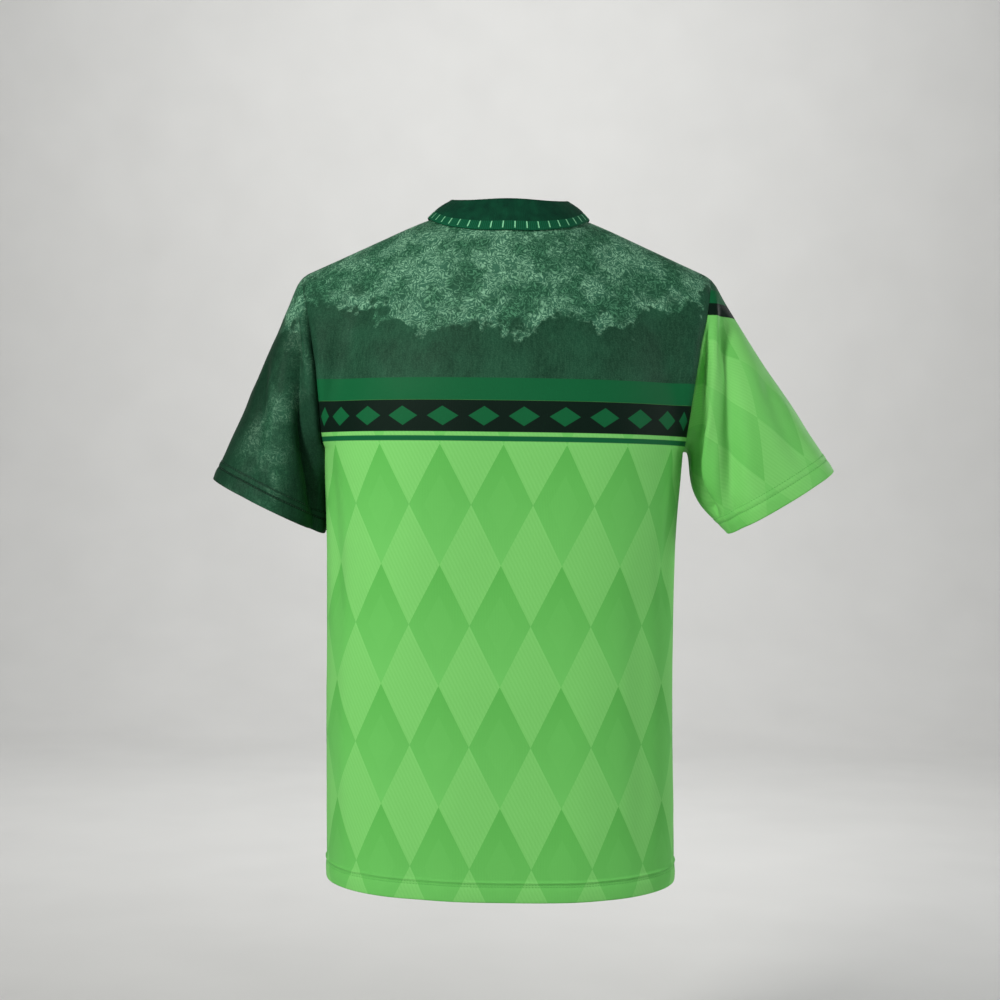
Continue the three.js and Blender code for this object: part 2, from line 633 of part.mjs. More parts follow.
// The collar's middle line at one place round the neck, from the seam up to the fold and down
// to its free edge.
function collarSection(entry, next, last) {
  const share = Math.abs(entry.round);
  const value = (key) => fromTable(COLLAR_STATIONS, 'at', key, share);
  const tangent = next.seam.clone().sub(last.seam).normalize();
  const level = point(tangent.y, -tangent.x, 0).normalize();
  const edge = placeUnder(collarEdgePlan(entry.round));
  const normal = torsoNormal(edge.side, edge.at, edge.level);
  const free = torsoPoint(edge.side, edge.at, edge.level)
    .addScaledVector(normal, CLOTH / 2 + COLLAR_EDGE_RIB / 2 + value('clear'));
  const outward = free.clone().sub(entry.seam).normalize().add(level).normalize();
  const rise = point(0, 0, value('up')).addScaledVector(level, value('out')).normalize();
  const fold = entry.seam.clone().addScaledVector(rise, value('stand'));
  fold.x += COLLAR_LEAN * (1 - share);
  const across = outward.clone().addScaledVector(rise, -outward.dot(rise)).normalize();
  const radius = value('foldRadius');
  const section = [
    entry.seam.clone(),
    entry.seam.clone().lerp(fold, 0.5).addScaledVector(across, -radius / 2),
  ];
  for (let i = 0; i <= FOLD_STEPS; i += 1) {
    const turn = (Math.PI * i) / FOLD_STEPS;
    section.push(fold.clone().addScaledVector(across, -radius * Math.cos(turn))
      .addScaledVector(rise, radius * Math.sin(turn)));
  }
  const start = section[section.length - 1];
  const fall = start.distanceTo(free);
  const bandStart = 1 - COLLAR_EDGE_BAND / fall;
  for (const t of [bandStart * 0.35, bandStart * 0.7, bandStart, bandStart + 0.03, 1]) {
    const bow = value('belly') * Math.sin(Math.PI * t);
    section.push(start.clone().lerp(free, t).addScaledVector(normal, bow));
  }
  return section;
}

function collarHalf(row, rows) {
  return (row >= rows - 2 ? COLLAR_EDGE_RIB : RIB_KNIT) / 2;
}

function buildCollar() {
  const line = neckLine();
  const stations = [collarEnd(-1, line), ...line, collarEnd(1, line)];
  const sections = stations.map((entry, i) => collarSection(
    entry, stations[Math.min(i + 1, stations.length - 1)], stations[Math.max(i - 1, 0)],
  ));
  const rows = sections[0].length;
  const grid = Array.from({ length: rows }, (_, row) => sections.map((section) => section[row]));
  const normals = gridNormals(grid, 1);
  const halves = normals.map((line, row) => line.map((n) => scaled(n, collarHalf(row, rows))));
  stations.forEach((entry, i) => {
    const before = stations[Math.max(i - 1, 0)].seam;
    const after = stations[Math.min(i + 1, stations.length - 1)].seam;
    const onPanel = entry.column !== undefined;
    const panelNormal = onPanel
      ? panels[entry.side].halves[TOP_ROW][entry.column].clone().normalize()
      : panels[1].halves[TOP_ROW][NECK_COLUMNS + SHOULDER_COLUMNS].clone().normalize();
    const { out, stretch } = mitre(panelNormal, normals[0][i]);
    const half = scaled(out, (CLOTH / 2) * stretch);
    const aside = stepAside(before, after, out, point(0, 0, 1));
    halves[0][i] = half;
    grid[0][i].add(aside);
    if (!onPanel) return;
    const sides = Math.abs(entry.at) > NECK_SHARE - 1e-6 ? [-1, 1] : [entry.side];
    for (const side of sides) {
      panels[side].halves[TOP_ROW][entry.column] = half.clone();
      panels[side].grid[TOP_ROW][entry.column].sub(aside);
    }
  });
  return wall('collar', grid, halves, COLOURS.collar);
}

partSeams();
const sleeveMeshes = SLEEVES.map((sleeve) => seatSleeve(buildSleeve(sleeve)));
const collarMesh = buildCollar();

const jersey = new THREE.Group();
jersey.add(
  wall('back', panels[-1].grid, panels[-1].halves, COLOURS.body),
  wall('front', panels[1].grid, panels[1].halves, COLOURS.body),
  ...sleeveMeshes,
  collarMesh,
);

export default jersey;
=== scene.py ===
"""A short-sleeved football jersey in the hollow shape it has when worn, seen from the back.

Lengths are in millimetres up to the meshes, which are in metres. +Z is up, +Y is the way the
wearer faces and +X is the wearer's right. The origin is the middle of the neck opening. A side is
-1 for the back panel and 1 for the front, and a sign is -1 for the wearer's left and 1 for the right.
"""

import math
from types import SimpleNamespace

import bpy
import numpy as np
from mathutils import Matrix, Vector


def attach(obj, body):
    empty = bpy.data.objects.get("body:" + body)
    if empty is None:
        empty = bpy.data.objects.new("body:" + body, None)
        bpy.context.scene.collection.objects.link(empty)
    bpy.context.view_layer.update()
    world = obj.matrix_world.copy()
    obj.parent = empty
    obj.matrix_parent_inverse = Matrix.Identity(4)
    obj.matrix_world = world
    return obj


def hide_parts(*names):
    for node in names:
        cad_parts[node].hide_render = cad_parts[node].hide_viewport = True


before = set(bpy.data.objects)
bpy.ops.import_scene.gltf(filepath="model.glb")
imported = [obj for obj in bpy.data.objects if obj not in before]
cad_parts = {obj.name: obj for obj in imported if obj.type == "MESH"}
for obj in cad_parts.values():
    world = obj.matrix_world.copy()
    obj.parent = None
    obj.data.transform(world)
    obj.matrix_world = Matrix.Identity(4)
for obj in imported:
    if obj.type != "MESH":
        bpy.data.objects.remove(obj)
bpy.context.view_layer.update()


def rows(names, *values):
    """A short table: a list of rows whose columns are named."""
    return [SimpleNamespace(**dict(zip(names.split(), row))) for row in values]


# Cloth
CLOTH = 1.4
TURNED_HEM = 2.6
RIB_KNIT = 2.0
COLLAR_EDGE_RIB = 2.2
SEAM_GAP = 0.3
LONGEST_MITRE = 1.9
SMOOTH_UNDER = 50

# Torso
ARMPIT_Z = -239
SQUARENESS = 2.4
TORSO_SECTIONS = rows(
    "z middle half_width back front",
    (-677, 0, 179, 123, 125),
    (-560, -2, 178.5, 121, 123),
    (-430, -3.5, 178.5, 120, 124),
    (-330, -3.4, 180, 123, 129),
    (ARMPIT_Z, -2.4, 185.5, 127, 132),
)
HEM_SAG = 3
HEM_Z = TORSO_SECTIONS[0].z
ARMPIT = TORSO_SECTIONS[-1]

# Shoulder seam, neck and armhole
NECK_SIDE = (70, 4.5)
NECK_SHARE = 0.42
SHOULDER_ENDS = rows("sign x z lean", (-1, -215, -61, 2), (1, 212, -57, 1.4))
NECK_FRONT_LEAVES = (0, 78, -42)
NECK_FRONT_ARRIVES = (-84, 18, -100)
BACK_NECK = (-72, -12)
FRONT_NECK = (86, -92)
ARMHOLE_DEPTH = {-1: 62, 1: 60}
ARMHOLE_ROUNDNESS = 0.88
UPPER = SimpleNamespace(
    side_lean=0.1, front_lean=0.03, leave=0.95, arrive=0.9, hold=6, pull_from=0.5, pull_power=1.5
)
TOP_ROUNDING = rows(
    "offset weight",
    (-0.16, 1), (-0.12, 2), (-0.08, 3), (-0.04, 4), (0, 4), (0.04, 4), (0.08, 3), (0.12, 2), (0.16, 1),
)
TOP_DIRECTIONS = {
    -1: rows(
        "at inward over up",
        (0.0, 0.0, 0.5, 0.87),
        (0.21, 0.5, 0.55, 0.62),
        (0.42, 0.58, 0.8, 0.24),
        (0.66, 0.14, 1.0, 0.03),
        (1.0, 0.0, 1.0, 0.0),
    ),
    1: rows(
        "at inward over up",
        (0.0, 0.0, 0.34, 0.94),
        (0.21, 0.5, 0.5, 0.72),
        (0.42, 0.55, 0.82, 0.24),
        (0.66, 0.14, 1.0, 0.03),
        (1.0, 0.0, 1.0, 0.0),
    ),
}

# Soft troughs and ridges of the torso. at is the place across, -1 at the wearer's left, and drift
# is how far it wanders from its top to its bottom.
TORSO_FOLDS = rows(
    "side at drift width top bottom depth",
    (-1, -0.78, 0.1, 0.07, -215, -440, -3.2),
    (-1, -0.6, -0.04, 0.08, -330, -700, 2.2),
    (-1, -0.3, 0.06, 0.1, -430, -760, -2.4),
    (-1, 0.0, 0.0, 0.16, -110, -480, -3.0),
    (-1, 0.26, -0.05, 0.09, -400, -760, 2.0),
    (-1, 0.52, 0.05, 0.09, -300, -720, -2.6),
    (-1, 0.8, -0.1, 0.06, -215, -420, -3.6),
    (1, -0.8, 0.12, 0.07, -215, -430, -3.4),
    (1, -0.45, -0.06, 0.1, -360, -740, -2.6),
    (1, -0.12, 0.05, 0.11, -420, -760, 2.2),
    (1, 0.3, 0.04, 0.1, -330, -740, -2.4),
    (1, 0.77, -0.1, 0.07, -215, -450, -3.0),
)

# Sleeves
SLEEVES = rows(
    "name sign outer inner y depth cap_leaves armpit_leaves sag",
    ("left_sleeve", -1, (-303, -271), (-188.8, -326), 4, 63, (0.36, 0, -0.93), (34, 0, -12), 2),
    ("right_sleeve", 1, (338.5, -255), (232, -321), -4, 62, (0.45, 0, -0.89), (80, 0, 50), 20),
)
SIDE_LEAVES = (0.72, 0.2, -0.66)
SPREAD = SimpleNamespace(cap=0.7, side=0.6, cuff=0.75, cuff_underarm=0.5, cap_turn=0.8)
SLEEVE_GIRTH = 430

# Creases of the sleeves. A path's points are (turn, down): turn is the place around, from 0 at the
# shoulder through 0.25 at the back and 0.5 at the armpit, and down is the share of the way from
# the armhole to the cuff. to_cuff and to_seam are how far a crease reaches on either side, in
# millimetres, and left is the share of its depth that is left at its lower end.
CREASES = rows(
    "sign depth to_cuff to_seam left path",
    (-1, -15.0, 14.5, 5.2, 0.5, (
        (0.09, 0.075), (0.15, 0.095), (0.225, 0.14), (0.312, 0.215), (0.385, 0.35), (0.412, 0.52),
        (0.43, 0.78), (0.44, 1.0),
    )),
    (-1, 5.0, 4.0, 12.0, 0.1, (
        (0.05, 0.037), (0.165, 0.056), (0.24, 0.094), (0.315, 0.12), (0.385, 0.165), (0.45, 0.3),
        (0.47, 0.58), (0.47, 0.8),
    )),
    (-1, 5.0, 14.0, 12.0, 0, ((0.44, 0.02), (0.45, 0.12), (0.455, 0.25), (0.46, 0.45))),
    (-1, -5.5, 9.0, 9.0, 0.5, ((0.07, 0.35), (0.1, 0.48), (0.16, 0.6), (0.19, 0.74), (0.195, 1.0))),
    (-1, -11.0, 15.0, 7.0, 0.4, (
        (0.88, 0.08), (0.83, 0.13), (0.77, 0.19), (0.71, 0.3), (0.66, 0.42), (0.64, 0.6), (0.61, 0.8),
        (0.6, 1.0),
    )),
    (-1, 4.5, 5.0, 10.0, 0.1, (
        (0.93, 0.04), (0.82, 0.055), (0.75, 0.09), (0.68, 0.125), (0.62, 0.18), (0.57, 0.32), (0.55, 0.55),
    )),
    (-1, -4.0, 10.0, 10.0, 0.5, ((0.92, 0.3), (0.88, 0.5), (0.83, 0.65), (0.81, 0.8), (0.8, 1.0))),
    (1, -12.0, 15.0, 8.5, 0.3, (
        (0.07, 0.085), (0.1, 0.135), (0.17, 0.175), (0.24, 0.265), (0.305, 0.38), (0.355, 0.56),
        (0.39, 0.72), (0.41, 1.0),
    )),
    (1, 3.0, 4.5, 4.5, 0, (
        (0.05, 0.02), (0.1, 0.03), (0.177, 0.075), (0.258, 0.12), (0.327, 0.185), (0.37, 0.24),
        (0.43, 0.4), (0.45, 0.65),
    )),
    (1, -12.5, 8.0, 7.0, 0.8, (
        (0.13, 0.012), (0.211, 0.025), (0.321, 0.06), (0.4, 0.1), (0.44, 0.2), (0.455, 0.4), (0.46, 0.7),
    )),
    (1, -3.0, 13.0, 13.0, 0.6, ((0.08, 0.4), (0.13, 0.55), (0.16, 0.75), (0.165, 1.0))),
    (1, -8.0, 15.0, 8.0, 0.3, (
        (0.9, 0.1), (0.87, 0.15), (0.8, 0.22), (0.74, 0.3), (0.68, 0.4), (0.62, 0.6), (0.58, 0.75),
        (0.57, 1.0),
    )),
    (1, -8.0, 8.0, 7.0, 0, (
        (0.87, 0.012), (0.79, 0.025), (0.69, 0.055), (0.6, 0.1), (0.56, 0.2), (0.545, 0.4), (0.54, 0.7),
    )),
    (1, -3.0, 12.0, 12.0, 0.6, ((0.93, 0.35), (0.87, 0.55), (0.85, 0.75), (0.845, 1.0))),
)
CREASE = SimpleNamespace(steps=120, smoothings=12, round=410, long=190)

# Collar, a row for each place from the centre back to the front end.
COLLAR_STATIONS = rows(
    "at stand out up fold_radius belly clear",
    (0.0, 23.5, -0.36, 0.93, 2.6, 0.6, 0.5),
    (0.25, 21, -0.5, 0.87, 2.7, 0.8, 0.5),
    (0.5, 17.2, -0.62, 0.79, 3.3, 1.6, 1.2),
    (0.62, 16, -0.6, 0.8, 3.2, 1.8, 1.5),
    (0.8, 12, -0.45, 0.89, 3.6, 2.6, 1.2),
    (1.0, 8, -0.1, 0.99, 3.4, 2.2, 1.2),
)
COLLAR_EDGE_BACK = (82, -76)
COLLAR_EDGE_BEND = (74, 92)
COLLAR_POINT = (38, 98)
COLLAR_EDGE_POWER = 0.97
COLLAR_LEAN = 2
COLLAR_EDGE_BAND = 9
COLLAR_FRONT_END = 0.97
COLLAR_ROWS = SimpleNamespace(stand=14, fold=14, fall=22, band=9)

# Finer things than the solids have. swells are (how far out, how far up from the edge, width).
PINCH = {
    "armhole": SimpleNamespace(depth=1.6, width=6.0),
    "side": SimpleNamespace(depth=0.7, width=5.0),
    "shoulder": SimpleNamespace(depth=0.8, width=5.0),
}
GROOVE = SimpleNamespace(depth=0.75, width=1.1)
BAND_GROOVE = SimpleNamespace(depth=0.4, width=0.7)
STITCH_DENT = SimpleNamespace(depth=0.5, width=1.1)
HEMS = {
    "torso": SimpleNamespace(depth=19, stitching=(14.2, 16.4), swells=((0.5, 7, 5), (0.75, 18.7, 1.4))),
    "sleeve": SimpleNamespace(depth=20.5, stitching=(13.5, 20.0), swells=((0.4, 6.5, 4.5),)),
}
STITCH = SimpleNamespace(length=2.5, pitch=3.0, radius=0.32, sink=0.28, sides=6)
STITCH_RINGS = rows(
    "place width lift",
    (-0.5, 0.25, -0.6), (-0.25, 0.85, -0.1), (0, 1.0, 0.12), (0.25, 0.85, -0.1), (0.5, 0.25, -0.6),
)

# Unevenness: how much, over how many millimetres, and the seed of its random values.
UNEVEN = rows(
    "where amount size seed",
    ("panel", 0.55, 70, 11), ("panel", 0.25, 26, 21),
    ("sleeve_form", 0.5, 45, 31), ("sleeve_form", 0.2, 18, 41),
    ("armhole", 0.3, 16, 51), ("side", 0.4, 20, 61),
    ("torso", 0.35, 7, 71), ("sleeve", 0.35, 7, 81),
)


# Arithmetic on points, whose last axis is x, y and z


def vec(x, y, z):
    return np.stack(np.broadcast_arrays(x, y, z), axis=-1).astype(float)


def unit(v):
    return v / np.maximum(np.linalg.norm(v, axis=-1, keepdims=True), 1e-9)


def mix(a, b, t):
    return a + (b - a) * t


def smooth(x, low, high):
    t = np.clip((x - low) / (high - low), 0, 1)
    return t * t * (3 - 2 * t)


def bell(x, width):
    return np.exp(-((x / width) ** 2))


def cubic(p0, m0, p1, m1, t):
    """A curve from p0 to p1 that leaves along m0 and arrives along m1."""
    t2 = t * t
    t3 = t2 * t
    return (
        p0 * (2 * t3 - 3 * t2 + 1) + m0 * (t3 - 2 * t2 + t)
        + p1 * (3 * t2 - 2 * t3) + m1 * (t3 - t2)
    )


def from_table(table, key, value, at):
    """A column's value at places between the rows, on a smooth curve that is level at its start."""
    keys = np.array([getattr(row, key) for row in table], float)
    values = np.array([getattr(row, value) for row in table], float)
    at = np.asarray(at, float)
    i = np.searchsorted(keys[1:-1], at, side="left")
    before = np.maximum(i - 1, 0)
    after = np.minimum(i + 2, len(keys) - 1)
    span = keys[i + 1] - keys[i]
    t = np.clip((at - keys[i]) / span, 0, 1)
    rise = (values[i + 1] - values[before]) / (keys[i + 1] - keys[before]) * span
    slope_high = (values[after] - values[i]) / (keys[after] - keys[i]) * span
    return cubic(values[i], np.where(i == 0, 0, rise), values[i + 1], slope_high, t)


def points_between(at, keys, points):
    """Points between those of a line, at values between the line's keys."""
    return np.stack([np.interp(at, keys, points[:, k]) for k in range(3)], axis=-1)


def uneven(where, points, seed=0):
    """Smooth random values around 0 that change over a few lengths of the table's size."""
    total = np.zeros(points.shape[:-1])
    for row in UNEVEN:
        if row.where != where:
            continue
        random = np.random.default_rng(row.seed + seed)
        waves = np.zeros(points.shape[:-1])
        for _ in range(7):
            way = unit(random.normal(size=3))
            length = row.size * random.uniform(1.4, 3.2)
            waves += np.sin(points @ way * (2 * math.pi / length) + random.uniform(0, 2 * math.pi))
        total += row.amount * waves / 3.2
    return total


def grid_normals(grid, flip, wrap=False):
    if wrap:
        along = np.roll(grid, -1, axis=1) - np.roll(grid, 1, axis=1)
    else:
        along = np.gradient(grid, axis=1)
    return unit(np.cross(along, np.gradient(grid, axis=0)) * flip)


def run_lengths(grid, axis):
    """Length along the grid's lines from their first point."""
    steps = np.linalg.norm(np.diff(grid, axis=axis), axis=-1)
    shape = list(steps.shape)
    shape[axis] = 1
    return np.concatenate([np.zeros(shape), np.cumsum(steps, axis=axis)], axis=axis)


def lengths_to_end(grid):
    """Length along the grid's columns to their last point."""
    return run_lengths(grid[::-1], 0)[::-1]


# Torso


def around(side, at):
    """The direction out from the torso at places across a panel."""
    turn = np.abs(at) * (math.pi / 2)
    power = 2 / SQUARENESS
    x = np.sign(at) * np.sin(turn) ** power
    return x, side * np.maximum(np.cos(turn), 0) ** power


def torso_section(side, at, z):
    x, y = around(side, at)
    middle = from_table(TORSO_SECTIONS, "z", "middle", z)
    width = from_table(TORSO_SECTIONS, "z", "half_width", z)
    depth = from_table(TORSO_SECTIONS, "z", "back" if side < 0 else "front", z)
    return vec(middle + width * x, depth * y, z)


def shoulder_end(sign, key):
    left, right = (getattr(row, key) for row in SHOULDER_ENDS)
    return np.where(sign < 0, left, right)


def top_edge(side, at):
    """The top edge of a panel: half the neck up to NECK_SHARE, then the shoulder seam."""
    at = np.asarray(at, float)
    sign = np.where(at < 0, -1, 1)
    place = np.abs(at)
    t = np.clip((place - NECK_SHARE) / (1 - NECK_SHARE), 0, 1)
    shoulder_x = mix(sign * NECK_SIDE[0], shoulder_end(sign, "x"), t)
    shoulder = vec(shoulder_x, 0, mix(NECK_SIDE[1], shoulder_end(sign, "z"), t))
    share = np.clip(place / NECK_SHARE, 0, 1)
    turn = share * (math.pi / 2)
    if side < 0:
        neck = vec(
            sign * NECK_SIDE[0] * np.sin(turn),
            BACK_NECK[0] * np.cos(turn),
            mix(BACK_NECK[1], NECK_SIDE[1], 1 - np.cos(turn)),
        )
    else:
        neck = cubic(
            np.array([NECK_SIDE[0], 0, NECK_SIDE[1]], float), np.array(NECK_FRONT_LEAVES, float),
            np.array([0, FRONT_NECK[0], FRONT_NECK[1]], float), np.array(NECK_FRONT_ARRIVES, float),
            (1 - share)[..., None],
        )
        neck[..., 0] *= sign
    return np.where((place >= NECK_SHARE)[..., None], shoulder, neck)


def top_direction(side, at):
    table = TOP_DIRECTIONS[side]
    place = np.abs(at)
    return unit(vec(
        -np.sign(at) * from_table(table, "at", "inward", place),
        -side * from_table(table, "at", "over", place),
        from_table(table, "at", "up", place),
    ))


def armhole_edge(side, sign, t):
    """The armhole edge of a panel, from the armpit at 0 to the end of the shoulder seam at 1."""
    risen = mix(t, (1 - np.cos(math.pi * t)) / 2, ARMHOLE_ROUNDNESS)
    armpit_x = ARMPIT.middle + sign * ARMPIT.half_width
    return vec(
        mix(armpit_x, shoulder_end(sign, "x"), risen ** shoulder_end(sign, "lean")),
        side * ARMHOLE_DEPTH[side] * np.sin(math.pi * t),
        mix(ARMPIT_Z, shoulder_end(sign, "z"), risen),
    )


def rounded_top(side, at):
    total = sum(top_edge(side, np.clip(at + row.offset, -1, 1)) * row.weight for row in TOP_ROUNDING)
    return total / sum(row.weight for row in TOP_ROUNDING)


def upper_column(side, at, t):
    """The upper torso from the chest at t = 0 over the shoulder to the top edge at t = 1."""
    x, y = around(side, at)
    t = t[..., None]
    start = torso_section(side, at, np.full_like(at, ARMPIT_Z))
    aim = rounded_top(side, at)
    reach = np.linalg.norm(aim - start, axis=-1, keepdims=True)
    leave = vec(UPPER.side_lean * x, UPPER.front_lean * y, 1) * reach * UPPER.leave
    arrive = top_direction(side, at) * reach * UPPER.arrive
    return cubic(start, leave, aim, arrive, t) + (top_edge(side, at) - aim) * t ** UPPER.hold


def fold_share(fold, at, z):
    """A fold's share of its depth at places across a panel and heights."""
    t = np.clip((z - fold.top) / (fold.bottom - fold.top), 0, 1)
    ends = smooth(t, 0, 0.35) * (1 - smooth(t, 0.65, 1))
    return bell(at - fold.at - fold.drift * t, fold.width) * ends


def torso_point(side, at, level):
    """The middle of the cloth: level is 0 at the hem, 1 at the armpits and 2 at the top edge."""
    at, level = (a.astype(float) for a in np.broadcast_arrays(at, level))
    sign = np.where(at < 0, -1, 1)
    hem = HEM_Z - HEM_SAG * np.cos(at * math.pi / 2)
    lower = torso_section(side, at, mix(hem, ARMPIT_Z, np.minimum(level, 1)))
    t = np.clip(level - 1, 0, 1)
    pull = smooth(np.abs(at), UPPER.pull_from, 1) ** UPPER.pull_power
    edge = armhole_edge(side, sign, t) - upper_column(side, sign.astype(float), t)
    upper = upper_column(side, at, t) + edge * pull[..., None]
    p = np.where((level <= 1)[..., None], lower, upper)
    x, y = around(side, at)
    clear_of_seam = 1 - smooth(np.abs(at), 0.86, 0.98)
    for fold in TORSO_FOLDS:
        if fold.side == side:
            depth = fold.depth * fold_share(fold, at, p[..., 2]) * clear_of_seam
            p[..., 0] += depth * x
            p[..., 1] += depth * y
    return p


# Places across a panel and levels up it. Both are close together at the seams and the stitching.

SECTION_SIZE = (180, 122)
EDGE_STEPS = np.array([0, 0.4, 0.9, 1.6, 2.6, 4.0, 6.0])
NECK_COLUMNS, SHOULDER_COLUMNS, CLOSE_TO_EDGE = 42, 54, 9


def panel_places():
    even = np.linspace(0, 1, 2001)
    ring = np.stack(around(-1, even), axis=-1) * SECTION_SIZE
    length = run_lengths(ring, 0)
    total = length[-1]
    neck = np.interp(NECK_SHARE, even, length)
    inner = np.interp(np.linspace(0, neck, NECK_COLUMNS), length, even)
    inner[-1] = NECK_SHARE
    outer = np.interp(np.linspace(neck, total - CLOSE_TO_EDGE, SHOULDER_COLUMNS), length, even)[1:]
    close = np.interp(total - EDGE_STEPS[::-1], length, even)
    close[-1] = 1
    half = np.concatenate([inner, outer, close])
    return np.concatenate([-half[:0:-1], half])


LOWER_HEIGHTS = np.concatenate([
    [0, 1.5, 4, 7, 10, 12, 13.2, 13.8, 14.4, 15, 15.6, 16.2, 16.8, 17.4, 18, 18.6, 19.2, 19.8, 20.4],
    [21.2, 22.4, 24, 27],
    np.linspace(31, ARMPIT_Z - HEM_Z, 74),
])
TOP_STEPS = np.array([0.0275, 0.018, 0.011, 0.0065, 0.0035, 0.0016, 0])
PLACES = panel_places()
LEVELS = np.concatenate([
    LOWER_HEIGHTS / (ARMPIT_Z - HEM_Z),
    1 + np.linspace(0, 1 - 0.035, 96)[1:],
    2 - TOP_STEPS,
])
ARMPIT_ROW = len(LOWER_HEIGHTS) - 1
TOP_ROW = len(LEVELS) - 1
LOWER = slice(0, ARMPIT_ROW + 1)
ARMHOLE = slice(ARMPIT_ROW, TOP_ROW + 1)
ON_SHOULDER = np.abs(PLACES) >= NECK_SHARE - 1e-9

# The armhole is a loop of (side, row), down the back edge from the shoulder and up the front edge.
# ON_LOOP says where on it each row of a panel's armhole is.
ARMHOLE_LOOP = [(-1, row) for row in range(TOP_ROW, ARMPIT_ROW - 1, -1)]
ARMHOLE_LOOP += [(1, row) for row in range(ARMPIT_ROW + 1, TOP_ROW)]
HALF_LOOP = TOP_ROW - ARMPIT_ROW
RISE = np.arange(HALF_LOOP + 1)
ON_LOOP = {-1: HALF_LOOP - RISE, 1: (HALF_LOOP + RISE) % len(ARMHOLE_LOOP)}


def panel_grid(side):
    grid = torso_point(side, PLACES[None, :], LEVELS[:, None])
    free = (1 - smooth(np.abs(PLACES), 0.88, 0.99)) * (1 - smooth(LEVELS, 1.82, 1.97))[:, None]
    return grid + grid_normals(grid, -side) * (uneven("panel", grid, side) * free)[..., None]


GRIDS = {side: panel_grid(side) for side in (-1, 1)}


def on_armhole(values, column):
    return np.array([values[side][row, column] for side, row in ARMHOLE_LOOP])


# Sleeves. Their rows are shares of the way down, even ones, and millimetres from the cuff.

SLEEVE_FIRST_ROWS = np.array([0, 0.0022, 0.005, 0.009, 0.015, 0.024])
SLEEVE_EVEN_ROWS = 72
SLEEVE_LAST_ROWS = np.array([
    25, 23, 21.6, 20.7, 20.3, 20, 19.7, 19, 17.5, 15.5, 14.3, 13.8, 13.5, 13.2, 12.6, 11, 8.5, 5.5, 3, 1.2, 0,
])


def loop_turns(points):
    """How far round each point of a loop is: 0 at the shoulder, 0.5 at the armpit."""
    run = run_lengths(np.concatenate([points, points[:1]]), 0)
    back, whole = run[HALF_LOOP], run[-1]
    at = run[:-1]
    return np.where(at <= back, 0.5 * at / back, 0.5 + 0.5 * (at - back) / (whole - back))


def sleeve_point(sleeve, start, turn, t):
    outer = np.array([sleeve.outer[0], sleeve.y, sleeve.outer[1]], float)
    inner = np.array([sleeve.inner[0], sleeve.y, sleeve.inner[1]], float)
    centre = (outer + inner) / 2
    long_half = outer - centre
    angle = turn * 2 * math.pi
    cos, sin = np.cos(angle), np.sin(angle)
    end = centre + long_half * cos[..., None]
    end[..., 1] -= sleeve.depth * sin
    cap, underarm, flank = np.maximum(cos, 0) ** 2, np.maximum(-cos, 0) ** 2, sin ** 2
    reach = np.linalg.norm(end - start, axis=-1)
    side = np.where(sin > 0, -1, 1)
    turned = np.array([sleeve.sign, 1, 1])
    leave = (
        np.array(sleeve.cap_leaves) * turned * (cap * SPREAD.cap * reach)[..., None]
        + vec(SIDE_LEAVES[0] * sleeve.sign, SIDE_LEAVES[1] * side, SIDE_LEAVES[2])
        * (flank * SPREAD.side * reach)[..., None]
        + np.array(sleeve.armpit_leaves) * turned * underarm[..., None]
    )
    axis = unit(np.array([-long_half[2], 0, long_half[0]]))
    axis *= -np.sign(axis[2])
    arrive = mix(axis, unit(end - start), (SPREAD.cap_turn * cap)[..., None])
    arrive = arrive * (reach * mix(SPREAD.cuff, SPREAD.cuff_underarm, underarm))[..., None]
    bulge = sleeve.sag * underarm * np.sin(math.pi * t) ** 2
    return cubic(start, leave, end, arrive, t[..., None]) + unit(end - centre) * bulge[..., None]


def crease_depth(crease, grid, turn, down):
    """How far a crease moves each point of a sleeve out."""
    points = np.array(crease.path)
    stops = np.linspace(0, len(points) - 1, CREASE.steps)
    places = np.stack([np.interp(stops, range(len(points)), points[:, k]) for k in (0, 1)], axis=-1)
    columns = [np.argmin(np.abs(turn - place[0])) for place in places]
    line = np.array([
        points_between(place[1], down[:, column], grid[:, column])
        for place, column in zip(places, columns)
    ])
    for values in (line, places):
        for _ in range(CREASE.smoothings):
            values[1:-1] = (values[:-2] + 2 * values[1:-1] + values[2:]) / 4
    gaps = np.linalg.norm(grid[:, :, None] - line, axis=-1)
    nearest = np.argmin(gaps, axis=-1)
    way = np.gradient(places, axis=0)[nearest]
    off_turn = (turn - places[nearest, 0]) * CREASE.round
    off_down = (down - places[nearest, 1]) * CREASE.long
    side = way[..., 0] * CREASE.round * off_down - way[..., 1] * CREASE.long * off_turn
    side = side * np.sign(points[-1, 0] - points[0, 0])
    reach = np.where(side > 0, crease.to_cuff, crease.to_seam)
    along = nearest / (CREASE.steps - 1)
    ends = smooth(along, 0, 0.25) * mix(1, crease.left, smooth(along, 0.7, 1))
    return crease.depth * ends * bell(np.min(gaps, axis=-1), reach)


def sleeve_levels(sleeve, start, turn):
    """Levels down each column of a sleeve, close together at the seam and the hem."""
    fine = np.linspace(0, 1, 161)
    shape = (len(fine), len(turn))
    path = sleeve_point(
        sleeve, start[None], np.broadcast_to(turn, shape), np.broadcast_to(fine[:, None], shape),
    )
    levels = []
    for run in run_lengths(path, 0).T:
        whole = run[-1]
        even = np.linspace(0.035 * whole, whole - 30, SLEEVE_EVEN_ROWS)
        stops = np.concatenate([SLEEVE_FIRST_ROWS * whole, even, whole - SLEEVE_LAST_ROWS])
        levels.append(np.interp(stops, run, fine))
    levels = np.array(levels).T
    levels[0], levels[-1] = 0, 1
    return levels


